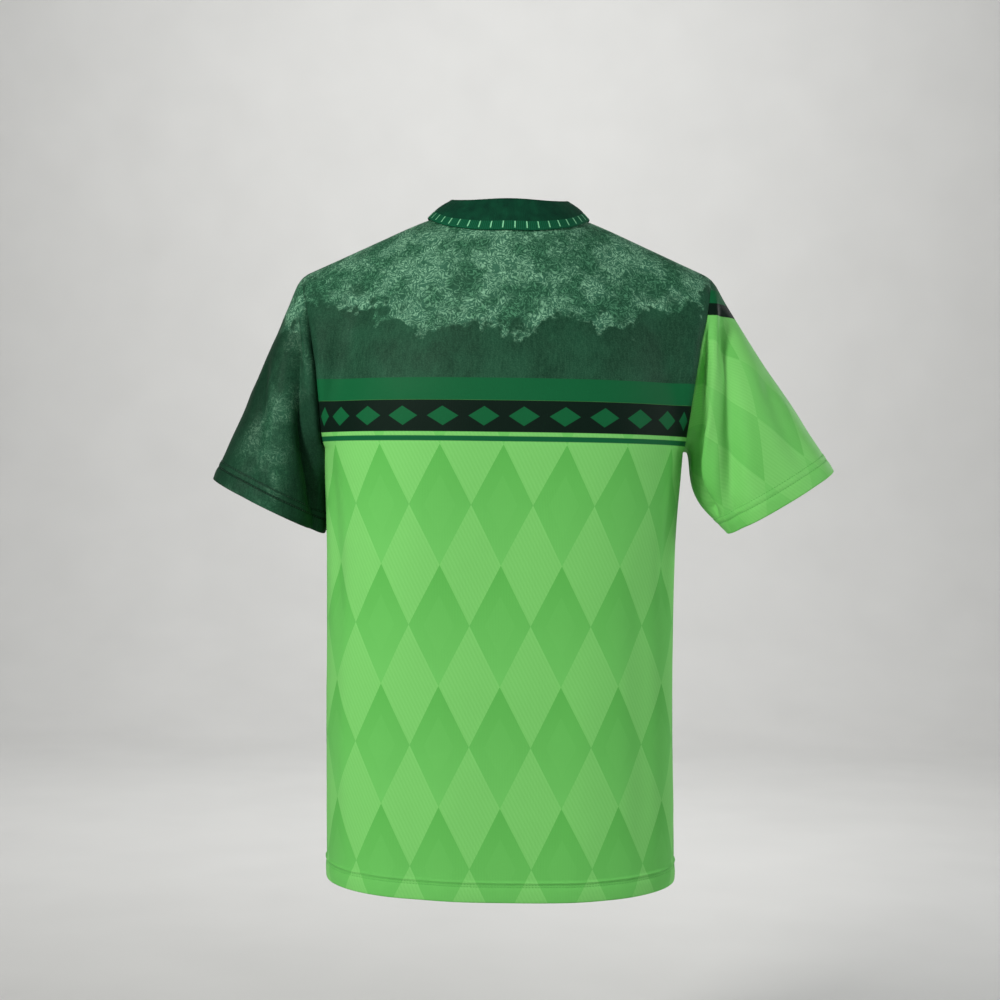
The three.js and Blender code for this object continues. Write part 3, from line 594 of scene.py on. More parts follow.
def sleeve_form(sleeve):
    column = 0 if sleeve.sign < 0 else len(PLACES) - 1
    start = on_armhole(GRIDS, column)
    turn = loop_turns(start)
    levels = sleeve_levels(sleeve, start, turn)
    grid = sleeve_point(
        sleeve, np.broadcast_to(start, (*levels.shape, 3)), np.broadcast_to(turn, levels.shape), levels,
    )
    length = run_lengths(grid, 0)
    creases = sum(
        crease_depth(crease, grid, turn, length / length[-1])
        for crease in CREASES if crease.sign == sleeve.sign
    )
    ease = uneven("sleeve_form", grid, sleeve.sign) * smooth(levels, 0.02, 0.2)
    moved = ease + creases * smooth(length, 0, 5)
    return SimpleNamespace(
        name=sleeve.name, sign=sleeve.sign, column=column, turn=turn,
        grid=grid + grid_normals(grid, sleeve.sign, True) * moved[..., None],
    )


# Seams: the sleeves and panels are pinched and grooved along them, and meet in mitres


def mitre(normal_a, normal_b):
    out = unit(normal_a + normal_b)
    stretch = 1 / np.maximum(np.sum(out * normal_a, axis=-1, keepdims=True), 0.1)
    return out, np.minimum(stretch, LONGEST_MITRE)


def step_aside(tangent, out, towards):
    """Half the seam gap, away from the seam line towards a piece."""
    across = unit(np.cross(tangent, out))
    across = np.where(np.sum(across * towards, axis=-1, keepdims=True) < 0, -across, across)
    return across * (SEAM_GAP / 2)


def pinch_sleeve(part):
    pinch = PINCH["armhole"]
    part.pinch = pinch.depth * (1 + uneven("armhole", part.grid[0]))
    share = bell(run_lengths(part.grid, 0), pinch.width) * part.pinch
    part.grid = part.grid - part.out * share[..., None]


def pinch_panel(side):
    grid = GRIDS[side]
    moved = grid.copy()
    across = run_lengths(grid, 1)
    for part in sleeve_forms:
        away = across if part.sign < 0 else across[:, -1:] - across
        loop = ON_LOOP[side]
        share = part.pinch[loop][:, None] * bell(away[ARMHOLE], PINCH["armhole"].width)
        moved[ARMHOLE] -= part.out[loop][:, None] * share[..., None]
        seam = PINCH["side"]
        fade = smooth(LEVELS[LOWER], 0.03, 0.1) * (1 - smooth(LEVELS[LOWER], 0.9, 1))
        depth = seam.depth * (1 + uneven("side", grid[LOWER, part.column] * [1, 0, 1])) * fade
        moved[LOWER, :, 0] -= part.sign * depth[:, None] * bell(away[LOWER], seam.width)
    seam = PINCH["shoulder"]
    place = np.abs(PLACES)
    fade = smooth(place, NECK_SHARE, NECK_SHARE + 0.06) * (1 - smooth(place, 0.93, 1))
    moved[..., 2] -= seam.depth * fade * bell(lengths_to_end(grid), seam.width)
    GRIDS[side] = moved


def groove(away):
    """The share of half the cloth that is left beside a seam."""
    return 1 - GROOVE.depth * bell(away, GROOVE.width)


def cloth_faces(where, out, height, pucker_places):
    """How far the outer and the inner face are from the middle of the cloth, thick at its hem."""
    hem = HEMS[where]
    doubled = 1 - smooth(height, hem.depth - 0.6, hem.depth + 1.0)
    half = out * (mix(CLOTH, TURNED_HEM, doubled) / 2)[..., None]
    swell = sum(depth * bell(height - place, width) for depth, place, width in hem.swells)
    dent = sum(STITCH_DENT.depth * bell(height - row, STITCH_DENT.width) for row in hem.stitching)
    pucker = 1 + uneven(where, pucker_places)
    return half + out * (swell - dent * pucker)[..., None], half


def sleeve_walls(part):
    tangent = np.roll(part.grid[0], -1, axis=0) - np.roll(part.grid[0], 1, axis=0)
    part.aside = step_aside(tangent, part.out, unit(np.array([part.sign, 0, -0.2], float)))
    out = grid_normals(part.grid, part.sign, True)
    outer, inner = cloth_faces("sleeve", out, lengths_to_end(part.grid), part.grid)
    outer[0] = inner[0] = part.out * part.stretch * CLOTH / 2
    outer *= groove(run_lengths(part.grid, 0))[..., None]
    part.grid[0] += part.aside
    return outer, inner


def panel_walls(side):
    grid = GRIDS[side]
    out = grid_normals(grid, -side)
    outer, inner = cloth_faces("torso", out, run_lengths(grid, 0), grid * [1, 1, 0.3])
    for part in sleeve_forms:
        for wall in (outer, inner):
            edge = wall[LOWER, part.column]
            wall[LOWER, part.column] = np.linalg.norm(edge, axis=-1, keepdims=True) * [part.sign, 0, 0]
        grid[LOWER, part.column, 1] = side * SEAM_GAP / 2
    for end in SHOULDER_ENDS:
        which = ON_SHOULDER & (np.sign(PLACES) == end.sign)
        up = unit(np.array([end.sign * (NECK_SIDE[1] - end.z), 0, end.sign * end.x - NECK_SIDE[0]]))
        outer[TOP_ROW, which] = inner[TOP_ROW, which] = up * CLOTH / 2
        grid[TOP_ROW, which, 1] = side * SEAM_GAP / 2
    loop = ON_LOOP[side]
    for part in sleeve_forms:
        edge = (part.out * part.stretch * CLOTH / 2)[loop]
        outer[ARMHOLE, part.column] = inner[ARMHOLE, part.column] = edge
        grid[ARMHOLE, part.column] -= part.aside[loop]
    across = run_lengths(grid, 1)
    sewn_top = np.where(ON_SHOULDER, groove(lengths_to_end(grid)), 1)
    outer *= (groove(across) * groove(across[:, -1:] - across) * sewn_top)[..., None]
    return outer, inner


def flat_panel(grid):
    """Flat millimetres across and up a panel, at the left and the right of each face."""
    middle = len(PLACES) // 2
    across = run_lengths(grid, 1)
    guide = (across - across[:, middle:middle + 1])[LOWER].mean(axis=0)
    flat = np.stack([np.broadcast_to(guide, across.shape), grid[..., 2]], axis=-1)
    return flat[:, :-1], flat[:, 1:]


def flat_sleeve(part):
    """Flat millimetres around and up a sleeve, which is cut open at the armpit."""
    length = run_lengths(part.grid, 0)
    up = length - length[-1:]
    left = np.where(part.turn < 0.5, part.turn, part.turn - 1) * SLEEVE_GIRTH
    right = np.roll(np.where(part.turn <= 0.5, part.turn, part.turn - 1), -1) * SLEEVE_GIRTH
    return (
        np.stack([np.broadcast_to(left, up.shape), up], axis=-1),
        np.stack([np.broadcast_to(right, up.shape), np.roll(up, -1, axis=1)], axis=-1),
    )


# Collar


def collar_stations():
    """Places on the neck edge, from its left front end round the back to its right front end: how
    far round the neck each one is, and its panel's side and place across."""
    line = []
    for at in PLACES[np.abs(PLACES) <= NECK_SHARE + 1e-9]:
        line.append((0.5 * at / NECK_SHARE, -1, at))
        if 1e-6 < abs(at) < NECK_SHARE - 1e-6:
            line.append((math.copysign(1 - 0.5 * abs(at) / NECK_SHARE, at), 1, at))
    line.sort()
    line = [station for station in line if abs(station[0]) < COLLAR_FRONT_END - 0.004]
    at = NECK_SHARE * 2 * (1 - COLLAR_FRONT_END)
    return [(-COLLAR_FRONT_END, 1, -at), *line, (COLLAR_FRONT_END, 1, at)]


def bent_line(start, bend, end, t):
    return start * (1 - t) ** 2 + 2 * bend * t * (1 - t) + end * t * t


def collar_edge_plan(round_neck):
    """The collar's free edge seen from above, as its panel's side, x and y."""
    sign = np.where(round_neck < 0, -1, 1)
    share = np.abs(round_neck)
    turn = np.minimum(share, 0.5) * math.pi
    back_x = COLLAR_EDGE_BACK[0] * np.sin(turn) ** COLLAR_EDGE_POWER
    back_y = COLLAR_EDGE_BACK[1] * np.maximum(np.cos(turn), 0) ** COLLAR_EDGE_POWER
    t = np.clip((share - 0.5) / 0.5, 0, 1)
    front_x = bent_line(COLLAR_EDGE_BACK[0], COLLAR_EDGE_BEND[0], COLLAR_POINT[0], t)
    front_y = bent_line(0, COLLAR_EDGE_BEND[1], COLLAR_POINT[1], t)
    at_back = share <= 0.5
    x = sign * np.where(at_back, back_x, front_x)
    return np.where(at_back, -1, 1), x, np.where(at_back, back_y, front_y)


def place_under(side, x, y):
    """The places on one panel's upper part that lie under points seen from above."""
    step = 1e-3
    at = np.clip(x / 160, -0.8, 0.8)
    level = np.full_like(at, 1.9)
    for _ in range(25):
        here = torso_point(side, at, level)
        along_at = (torso_point(side, at + step, level) - here) / step
        along_level = (torso_point(side, at, level - step) - here) / -step
        off_x, off_y = x - here[:, 0], y - here[:, 1]
        area = along_at[:, 0] * along_level[:, 1] - along_at[:, 1] * along_level[:, 0]
        at_step = (off_x * along_level[:, 1] - off_y * along_level[:, 0]) / area
        level_step = (along_at[:, 0] * off_y - along_at[:, 1] * off_x) / area
        at = np.clip(at + np.clip(at_step, -0.08, 0.08), -0.98, 0.98)
        level = np.clip(level + np.clip(level_step, -0.08, 0.08), 1.3, 2)
    return at, level


def torso_normal(side, at, level):
    step = 0.004
    up = torso_point(side, at, np.minimum(level + step, 2)) - torso_point(side, at, level - step)
    along = torso_point(side, at + step, level) - torso_point(side, at - step, level)
    return unit(np.cross(along, up) * -side)


def collar_section(seam, fold, free, across, rise, normal, radius, belly):
    """The collar's rows: up the stand, over the fold and down to the free edge."""
    section = []
    half_way = mix(seam, fold, 0.5) - across * radius / 2
    top = fold - across * radius
    for t in np.linspace(0, 1, COLLAR_ROWS.stand + 1)[:-1]:
        section.append(mix(seam, half_way, 2 * t) if t < 0.5 else mix(half_way, top, 2 * t - 1))
    for turn in np.arange(COLLAR_ROWS.fold + 1) * math.pi / COLLAR_ROWS.fold:
        section.append(fold - across * radius * math.cos(turn) + rise * radius * math.sin(turn))
    start = section[-1]
    band = 1 - COLLAR_EDGE_BAND / np.linalg.norm(free - start, axis=-1, keepdims=True)
    shares = [band * k / COLLAR_ROWS.fall for k in range(1, COLLAR_ROWS.fall + 1)]
    shares += [mix(band, 1, k / COLLAR_ROWS.band) for k in range(1, COLLAR_ROWS.band + 1)]
    section += [mix(start, free, t) + normal * belly * np.sin(math.pi * t) for t in shares]
    return np.stack(section)


def build_collar():
    stations = collar_stations()
    round_neck = np.array([station[0] for station in stations])
    seam = np.array([top_edge(side, at) for _, side, at in stations])
    share = np.abs(round_neck)
    form = {
        key: from_table(COLLAR_STATIONS, "at", key, share)[:, None]
        for key in ("stand", "out", "up", "fold_radius", "belly", "clear")
    }
    tangent = unit(np.gradient(seam, axis=0))
    level = unit(np.stack([tangent[:, 1], -tangent[:, 0], 0 * tangent[:, 0]], axis=-1))
    side, x, y = collar_edge_plan(round_neck)
    under, normal = np.zeros_like(seam), np.zeros_like(seam)
    for which in (-1, 1):
        mask = side == which
        at, up = place_under(which, x[mask], y[mask])
        under[mask] = torso_point(which, at, up)
        normal[mask] = torso_normal(which, at, up)
    free = under + normal * (CLOTH / 2 + COLLAR_EDGE_RIB / 2 + form["clear"])
    outward = unit(unit(free - seam) + level)
    rise = unit(vec(0, 0, form["up"][:, 0]) + level * form["out"])
    fold = seam + rise * form["stand"]
    fold[:, 0] += COLLAR_LEAN * (1 - share)
    across = unit(outward - rise * np.sum(outward * rise, axis=-1, keepdims=True))
    grid = collar_section(seam, fold, free, across, rise, normal, form["fold_radius"], form["belly"])
    out = grid_normals(grid, 1)
    drop = lengths_to_end(grid)
    in_band = 1 - smooth(drop, COLLAR_EDGE_BAND - 0.5, COLLAR_EDGE_BAND + 0.5)
    outer = out * mix(RIB_KNIT, COLLAR_EDGE_RIB, in_band)[..., None] / 2
    inner = outer - out * (BAND_GROOVE.depth * bell(drop - COLLAR_EDGE_BAND, BAND_GROOVE.width))[..., None]
    panel_normal = np.array([
        torso_normal(side, np.array([at]), np.array([1.999]))[0] for _, side, at in stations
    ])
    seam_out, stretch = mitre(panel_normal, out[0])
    outer[0] = inner[0] = seam_out * stretch * CLOTH / 2
    grid[0] += step_aside(tangent, seam_out, np.array([0, 0, 1.0]))
    edge = run_lengths(grid, 1)[-1]
    edge = edge - np.interp(0, round_neck, edge)
    flat = np.stack([np.broadcast_to(edge, drop.shape), drop], axis=-1)
    return shell("knit_collar", grid - inner, grid + outer, (flat[:, :-1], flat[:, 1:]), round_end=True)


# Meshes


def add_mesh(name, points, faces):
    mesh = bpy.data.meshes.new(name)
    mesh.from_pydata(points, [], faces)
    mesh.polygons.foreach_set("use_smooth", [True] * len(faces))
    mesh.update()
    piece = bpy.data.objects.new(name, mesh)
    bpy.context.scene.collection.objects.link(piece)
    return piece


def rim(outer, inner, row, beyond):
    """Three rows that round the edge of a wall from its outer to its inner face."""
    middle = (outer[row] + inner[row]) / 2
    half = (outer[row] - inner[row]) / 2
    thick = np.linalg.norm(half, axis=-1, keepdims=True)
    away = unit(middle - (outer[beyond] + inner[beyond]) / 2) * thick
    return np.array([
        middle + half * math.cos(math.pi * t) + away * math.sin(math.pi * t) for t in (0.25, 0.5, 0.75)
    ])


def side_faces(last, rim_rows):
    """The rows that each face of a wall's side edge joins, where the wall's last row meets its first."""
    lower, upper = 0, last - rim_rows
    faces = []
    while upper - lower > 2:
        faces.append([lower, lower + 1, upper - 1, upper])
        lower, upper = lower + 1, upper - 1
    if upper - lower == 2:
        faces.append([lower, lower + 1, upper])
    if rim_rows:
        faces.append([0, *range(last - rim_rows, last + 1)])
    return faces


def shell(name, outer, inner, flat, closed=False, round_start=False, round_end=False):
    """One closed wall from its outer and inner points. flat holds the cloth's flat millimetres at
    the left and the right of each face."""
    every = np.arange(len(outer))
    bands = [(outer, every, 0)]
    if round_end:
        bands.append((rim(outer, inner, -1, -2), every[[-1, -1, -1]], 0))
    bands.append((inner[::-1], every[::-1], 1))
    if round_start:
        bands.append((rim(outer, inner, 0, 1)[::-1], every[[0, 0, 0]], 0))
    points = np.concatenate([band for band, _, _ in bands])
    source = np.concatenate([rows_used for _, rows_used, _ in bands])
    inside = np.concatenate([np.full(band.shape[:2], value) for band, _, value in bands])
    left, right = flat[0][source], flat[1][source]
    count, columns = points.shape[:2]
    index = np.arange(count * columns).reshape(count, columns)
    r = np.arange(count)[:, None]
    c = np.arange(columns if closed else columns - 1)[None, :]
    after_r, after_c = (r + 1) % count, (c + 1) % columns
    quads = [index[r, c], index[r, after_c], index[after_r, after_c], index[after_r, c]]
    uv = np.stack([left[r, c], right[r, c], right[after_r, c], left[after_r, c]], axis=2)
    faces = np.stack(quads, axis=-1).reshape(-1, 4).tolist()
    uv = [uv.reshape(-1, 2)]
    if not closed:
        for column, edge, way in ((0, left[:, 0], -1), (columns - 1, right[:, -1], 1)):
            for joined in side_faces(count - 1, 3 if round_start else 0):
                turned = joined[::-way]
                faces.append(index[turned, column].tolist())
                uv.append(edge[turned])
    piece = add_mesh(name, (points.reshape(-1, 3) / 1000).tolist(), faces)
    layer = piece.data.uv_layers.new(name="flat")
    layer.data.foreach_set("uv", np.concatenate(uv).astype(np.float32).ravel())
    attribute = piece.data.attributes.new("inside", "FLOAT", "POINT")
    attribute.data.foreach_set("value", inside.astype(np.float32).ravel())
    set_outward(piece.data)
    return piece


def set_outward(mesh):
    """Turns the faces of a closed mesh outwards."""
    points = np.empty(len(mesh.vertices) * 3)
    mesh.vertices.foreach_get("co", points)
    points = points.reshape(-1, 3)
    mesh.calc_loop_triangles()
    corners = np.empty(len(mesh.loop_triangles) * 3, dtype=np.int32)
    mesh.loop_triangles.foreach_get("vertices", corners)
    a, b, c = (points[corners.reshape(-1, 3)[:, k]] for k in range(3))
    if np.einsum("ij,ij->i", a, np.cross(b, c)).sum() < 0:
        mesh.flip_normals()
    mesh.set_sharp_from_angle(angle=math.radians(SMOOTH_UNDER))


def stitches(name, lines):
    """Short rounded threads laid end to end along lines of (points, out)."""
    sides, last = STITCH.sides, len(STITCH_RINGS) - 1
    around_it = [(s, (s + 1) % sides) for s in range(sides)]
    thread = [
        (k * sides + a, k * sides + b, (k + 1) * sides + b, (k + 1) * sides + a)
        for k in range(last) for a, b in around_it
    ]
    thread += [tuple(reversed(range(sides))), tuple(range(last * sides, (last + 1) * sides))]
    angles = [2 * math.pi * s / sides for s in range(sides)]
    points = []
    for line, out in lines:
        run = run_lengths(line, 0)
        count = int(run[-1] / STITCH.pitch)
        centres = (np.arange(count) + 0.5) * run[-1] / count
        rings = [points_between(centres + STITCH.length * row.place, run, line) for row in STITCH_RINGS]
        up = unit(points_between(centres, run, out))
        side = unit(np.cross(unit(rings[-1] - rings[0]), up))
        for ring, row in zip(rings, STITCH_RINGS):
            ring += up * (row.lift * STITCH.radius + STITCH.radius - STITCH.sink)
        points.append(np.stack([
            ring + (side * math.cos(angle) + up * math.sin(angle)) * STITCH.radius * row.width
            for ring, row in zip(rings, STITCH_RINGS) for angle in angles
        ], axis=1).reshape(-1, 3))
    points = np.concatenate(points)
    faces = [
        tuple(base + k for k in face)
        for base in range(0, len(points), (last + 1) * sides) for face in thread
    ]
    return add_mesh(name, (points / 1000).tolist(), faces)


def stitch_line(grid, outer, distance, wanted):
    """The outer face's line at a wanted distance from an edge, and the way out along it."""
    order = np.argsort(distance[:, 0])
    line, out = (
        np.array([
            points_between(wanted, distance[order, c], values[order, c]) for c in range(grid.shape[1])
        ])
        for values in (grid + outer, outer)
    )
    return line, unit(out)


def build_panels():
    """Builds both panels and gives back the lines of their hems' stitching."""
    lines = []
    for side, name in ((-1, "back_panel"), (1, "front_panel")):
        outer, inner = panel_walls(side)
        grid = GRIDS[side]
        for row in HEMS["torso"].stitching:
            line, out = stitch_line(grid, outer, run_lengths(grid, 0), row)
            lines.append((line[3:-3], out[3:-3]))
        pieces[name] = shell(name, grid + outer, grid - inner, flat_panel(grid), round_start=True)
    return lines


def build_sleeve(part, outer, inner):
    grid = part.grid
    pieces[part.name] = shell(
        part.name, grid + outer, grid - inner, flat_sleeve(part), closed=True, round_end=True,
    )
    lines = []
    for row in HEMS["sleeve"].stitching:
        line, out = stitch_line(grid, outer, lengths_to_end(grid), row)
        lines.append((np.concatenate([line, line[:1]]), np.concatenate([out, out[:1]])))
    name = part.name + "_stitching"
    pieces[name] = stitches(name, lines)


pieces = {}
sleeve_forms = [sleeve_form(sleeve) for sleeve in SLEEVES]
panel_normals = {side: grid_normals(GRIDS[side], -side) for side in (-1, 1)}
for part in sleeve_forms:
    armhole_normals = grid_normals(part.grid, part.sign, True)[0]
    part.out, part.stretch = mitre(on_armhole(panel_normals, part.column), armhole_normals)
    pinch_sleeve(part)
for side in (-1, 1):
    pinch_panel(side)
sleeve_faces = [sleeve_walls(part) for part in sleeve_forms]
hem_lines = build_panels()
for part, faces in zip(sleeve_forms, sleeve_faces):
    build_sleeve(part, *faces)
pieces["hem_stitching"] = stitches("hem_stitching", hem_lines)
pieces["knit_collar"] = build_collar()


# Materials

# The colour named shade is painted shade. It is laid on the left sleeve near its ridge, its underarm and its
# stitching.
COLOURS = {
    "yoke": "#1f4a35", "yoke_deep": "#173a29", "yoke_mid": "#2d614a", "yoke_light": "#4f8a68",
    "yoke_pale": "#8abf9c", "shade": "#0c2216", "band": "#146038", "ink": "#0d1f17",
    "light": "#7fcf6f", "middle": "#70c764", "deep": "#60b955", "inside": "#c9dccb",
    # collar_rib is painted shade for the grooves of the edge band's rib.
    "collar": "#0d4730", "collar_deep": "#083425", "collar_band": "#125f40", "collar_rib": "#0d4a30",
    "tick": "#8edfab", "thread": "#5fb955", "dark_thread": "#14352a", "thread_shade": "#16301f",
    "floor": "#cfcfcd", "pale_floor": "#d8d8d6",
}

# Noises: how fine per millimetre, detail, roughness and distortion.
NOISES = {
    "cloth_cloud": (0.022, 4, 0.6), "streak": (0.4, 3, 0.65), "grain": (0.75, 2, 0.7),
    "curl": (0.1, 2, 0.5, 0.9), "broken": (0.38, 2, 0.6), "lightness": (0.034, 3, 0.6),
    "yarn": (0.9, 3, 0.6), "roughness": (0.02, 2, 0.5), "yoke_cloud": (0.03, 3, 0.6),
    "ragged": (0.085, 3, 0.6), "sleeve_cloud": (0.028, 3, 0.6), "collar_cloud": (0.08, 3, 0.6),
    "collar_yarn": (1.2, 2, 0.6), "floor_cloud": (0.004, 2, 0.5), "floor_grain": (0.2, 2, 0.5),
}

# Design on the cloth. Heights are z, the widths and pitches are flat millimetres.
YOKE_LOW = -172
YOKE_CLOUD = SimpleNamespace(reach=120, narrowing=0.46, ragged=46, wandering=95)
BORDER = rows(
    "low high colour",
    (-193, -171.2, "band"),
    (-224, -193, "ink"),
    (-233, -228, "band"),
)
DIAMONDS = SimpleNamespace(z=-208.5, pitch=38, half_height=9.5, half_width=0.38)
LOZENGE = SimpleNamespace(width=60.0, height=118.0, lines=15)
RIGHT_TOP = SimpleNamespace(ink=-100.1, band=-87, yoke=-72, marl=0.15)
KNIT = SimpleNamespace(wale=1.5, course=1.15)
RIB = SimpleNamespace(wale=2.05, course=1.1)
TICKS = SimpleNamespace(pitch=12.3, low=1.0, high=COLLAR_EDGE_BAND - 0.4)
THREAD_TWIST = 0.55


def linear(colour):
    """A colour from its hexadecimal sRGB form."""
    parts = [int(colour[i:i + 2], 16) / 255 for i in (1, 3, 5)]
    return (*[c / 12.92 if c <= 0.04045 else ((c + 0.055) / 1.055) ** 2.4 for c in parts], 1)


class Graph:
    """A material's node tree, built by calls that each return a socket."""

    def __init__(self, name):
        self.material = bpy.data.materials.new(name)
        self.material.use_nodes = True
        self.tree = self.material.node_tree

    def feed(self, node, inputs):
        for key, value in inputs.items():
            if isinstance(value, bpy.types.NodeSocket):
                self.tree.links.new(value, node.inputs[key])
            else:
                node.inputs[key].default_value = value

    def node(self, kind, inputs, **settings):
        node = self.tree.nodes.new(kind)
        for key, value in settings.items():
            setattr(node, key, value)
        self.feed(node, inputs)
        return node

    def math(self, operation, *values):
        return self.node("ShaderNodeMath", dict(enumerate(values)), operation=operation).outputs[0]

    def times(self, a, b):
        return self.math("MULTIPLY", a, b)

    def minus(self, a, b):
        return self.math("SUBTRACT", a, b)

    def times_plus(self, a, b, c):
        return self.math("MULTIPLY_ADD", a, b, c)

    def off(self, value, centre):
        """How far a value is from a centre."""
        return self.math("ABSOLUTE", self.minus(value, centre))

    def off_repeat(self, value, pitch):
        """How far a value is from the middle of its repeat, in shares of the pitch."""
        return self.off(self.math("FRACT", self.math("DIVIDE", value, pitch)), 0.5)

    def wave(self, value, pitch):
        """0 to 1 and back once in each pitch."""
        return self.times_plus(self.math("SINE", self.times(value, 2 * math.pi / pitch)), 0.5, 0.5)

    def ramp(self, value, low, high, to_low=0.0, to_high=1.0, soft=False):
        inputs = dict(enumerate((value, low, high, to_low, to_high)))
        kind = "SMOOTHSTEP" if soft else "LINEAR"
        return self.node("ShaderNodeMapRange", inputs, interpolation_type=kind, clamp=True).outputs[0]

    def above(self, value, edge):
        return self.ramp(value, edge - 0.3, edge + 0.3)

    def between(self, value, low, high):
        return self.times(self.above(value, low), self.ramp(value, high + 0.3, high - 0.3))

    def mix(self, share, a, b):
        """From one colour to another. Each is a socket or a name in COLOURS."""
        a, b = (linear(COLOURS[c]) if isinstance(c, str) else c for c in (a, b))
        return self.node("ShaderNodeMix", {0: share, 6: a, 7: b}, data_type="RGBA").outputs[2]

    def noise(self, vector, name):
        values = zip(("Scale", "Detail", "Roughness", "Distortion"), NOISES[name])
        return self.node("ShaderNodeTexNoise", {"Vector": vector, **dict(values)}).outputs["Fac"]

    def flat(self):
        """The cloth's flat millimetres, across and up."""
        flat = self.node("ShaderNodeUVMap", {}, uv_map="flat").outputs[0]
        return self.node("ShaderNodeSeparateXYZ", {0: flat}).outputs[:2]

    def place(self):
        """The point in millimetres, and its x, y and z."""
        metres = self.node("ShaderNodeTexCoord", {}).outputs["Object"]
        place = self.node("ShaderNodeVectorMath", {0: metres, 3: 1000}, operation="SCALE").outputs[0]
        return place, self.node("ShaderNodeSeparateXYZ", {0: place}).outputs

    def stretched(self, vector, by):
        return self.node("ShaderNodeVectorMath", {0: vector, 1: by}, operation="MULTIPLY").outputs[0]

    def inside(self):
        return self.node("ShaderNodeAttribute", {}, attribute_name="inside").outputs["Fac"]

    def bump(self, height, strength, distance, below=None):
        inputs = {"Strength": strength, "Distance": distance, "Height": height}
        if below is not None:
            inputs["Normal"] = below
        return self.node("ShaderNodeBump", inputs).outputs[0]

    def finish(self, colour, normal, roughness, sheen, specular=0.05):
        self.feed(self.tree.nodes["Principled BSDF"], {
            "Base Color": colour, "Normal": normal, "Roughness": roughness,
            "Specular IOR Level": specular, "Sheen Weight": sheen, "Sheen Roughness": 0.45,
            "Sheen Tint": (0.8, 1.0, 0.85, 1),
        })
        return self.material

    def finish_knit(self, colour, u, v, place, curls=None):
        """Fine interlock knit, whose print shows through paler on the inner face."""
        colour = self.mix(self.times(self.inside(), 0.62), colour, "inside")
        wales = self.times(self.wave(u, KNIT.wale), 0.65)
        height = self.times_plus(self.wave(v, KNIT.course), 0.35, wales)
        height = self.times_plus(self.noise(place, "yarn"), 0.9, height)
        normal = self.bump(height, 0.35, 0.0002)
        if curls is not None:
            normal = self.bump(curls, 0.35, 0.0005, normal)
        rough = self.ramp(self.noise(place, "roughness"), 0.3, 0.7, 0.5, 0.6)
        return self.finish(colour, normal, rough, 0.008)


def marl(g, place, share):
    """Dark green cloth with a cloudy marl. share is how much of the pale, curly marl there is."""
    cloud = g.ramp(g.noise(place, "cloth_cloud"), 0.36, 0.66, soft=True)
    streak = g.ramp(g.noise(g.stretched(place, (1, 1, 0.13)), "streak"), 0.4, 0.7)
    grain = g.ramp(g.noise(place, "grain"), 0.4, 0.7)
    wear = g.times_plus(streak, 0.1, g.times(grain, 0.16))
    base = g.mix(wear, g.mix(cloud, "yoke_deep", "yoke"), "yoke_light")
    curl = g.wave(g.noise(place, "curl"), 1 / 8)
    fleck = g.times(g.ramp(curl, 0.4, 0.72), g.ramp(g.noise(place, "broken"), 0.32, 0.6))
    lightness = g.ramp(g.noise(place, "lightness"), 0.4, 0.6, soft=True)
    pale = g.mix(lightness, "yoke_light", "yoke_pale")
    ground = g.mix(lightness, "yoke", "yoke_mid")
    return g.mix(share, base, g.mix(g.times_plus(fleck, 0.84, 0.08), ground, pale)), fleck


def lozenges(g, u, v, offset=0.0, strength=1.0):
    """Tall tonal lozenges in three greens, the palest with fine slanting lines."""
    across = g.math("DIVIDE", u, LOZENGE.width)
    up = g.math("DIVIDE", g.math("ADD", v, offset), LOZENGE.height)
    first, second = g.math("ADD", across, up), g.minus(across, up)
    cells = g.math("ADD", g.math("FLOOR", first), g.math("FLOOR", second))
    in_a, in_b = g.math("FRACT", first), g.math("FRACT", second)
    dark = g.mix(g.ramp(g.minus(in_a, in_b), -0.9, 0.9), "middle", "deep")
    edge_a = g.math("MINIMUM", in_a, g.minus(1, in_a))
    edge_b = g.math("MINIMUM", in_b, g.minus(1, in_b))
    heart = g.ramp(g.math("MINIMUM", edge_a, edge_b), 0.245, 0.255, 0, 0.25)
    dark = g.mix(heart, dark, "middle")
    pale = g.mix(g.times(g.wave(first, 1 / LOZENGE.lines), 0.4), "light", "middle")
    return g.mix(g.times(g.math("PINGPONG", cells, 1), strength), pale, dark)


def torso_material():
    g = Graph("body_knit")
    u, v = g.flat()
    place, (x, _, z) = g.place()
    cloud = g.noise(place, "yoke_cloud")
    across = g.math("POWER", g.times(x, YOKE_CLOUD.narrowing), 2)
    from_neck = g.math("SQRT", g.math("ADD", across, g.math("POWER", z, 2)))
    ragged = g.times_plus(g.minus(g.noise(place, "ragged"), 0.5), YOKE_CLOUD.ragged, from_neck)
    wandering = g.times_plus(g.minus(cloud, 0.5), YOKE_CLOUD.wandering, ragged)
    on_cloud = g.ramp(wandering, YOKE_CLOUD.reach + 4, YOKE_CLOUD.reach - 4)
    share = g.times(on_cloud, g.ramp(cloud, 0.3, 0.42, 0.35, 1.0))
    yoke, curl = marl(g, place, share)
    on_yoke = g.above(z, YOKE_LOW)
    colour = g.mix(on_yoke, lozenges(g, u, v), yoke)
    for row in BORDER:
        colour = g.mix(g.between(z, row.low, row.high), colour, row.colour)
    up = g.math("DIVIDE", g.off(z, DIAMONDS.z), DIAMONDS.half_height)
    along = g.math("DIVIDE", g.off_repeat(u, DIAMONDS.pitch), DIAMONDS.half_width)
    colour = g.mix(g.ramp(g.math("ADD", up, along), 1.03, 0.97), colour, "band")
    return g.finish_knit(colour, u, v, place, g.times(curl, g.times(share, on_yoke)))


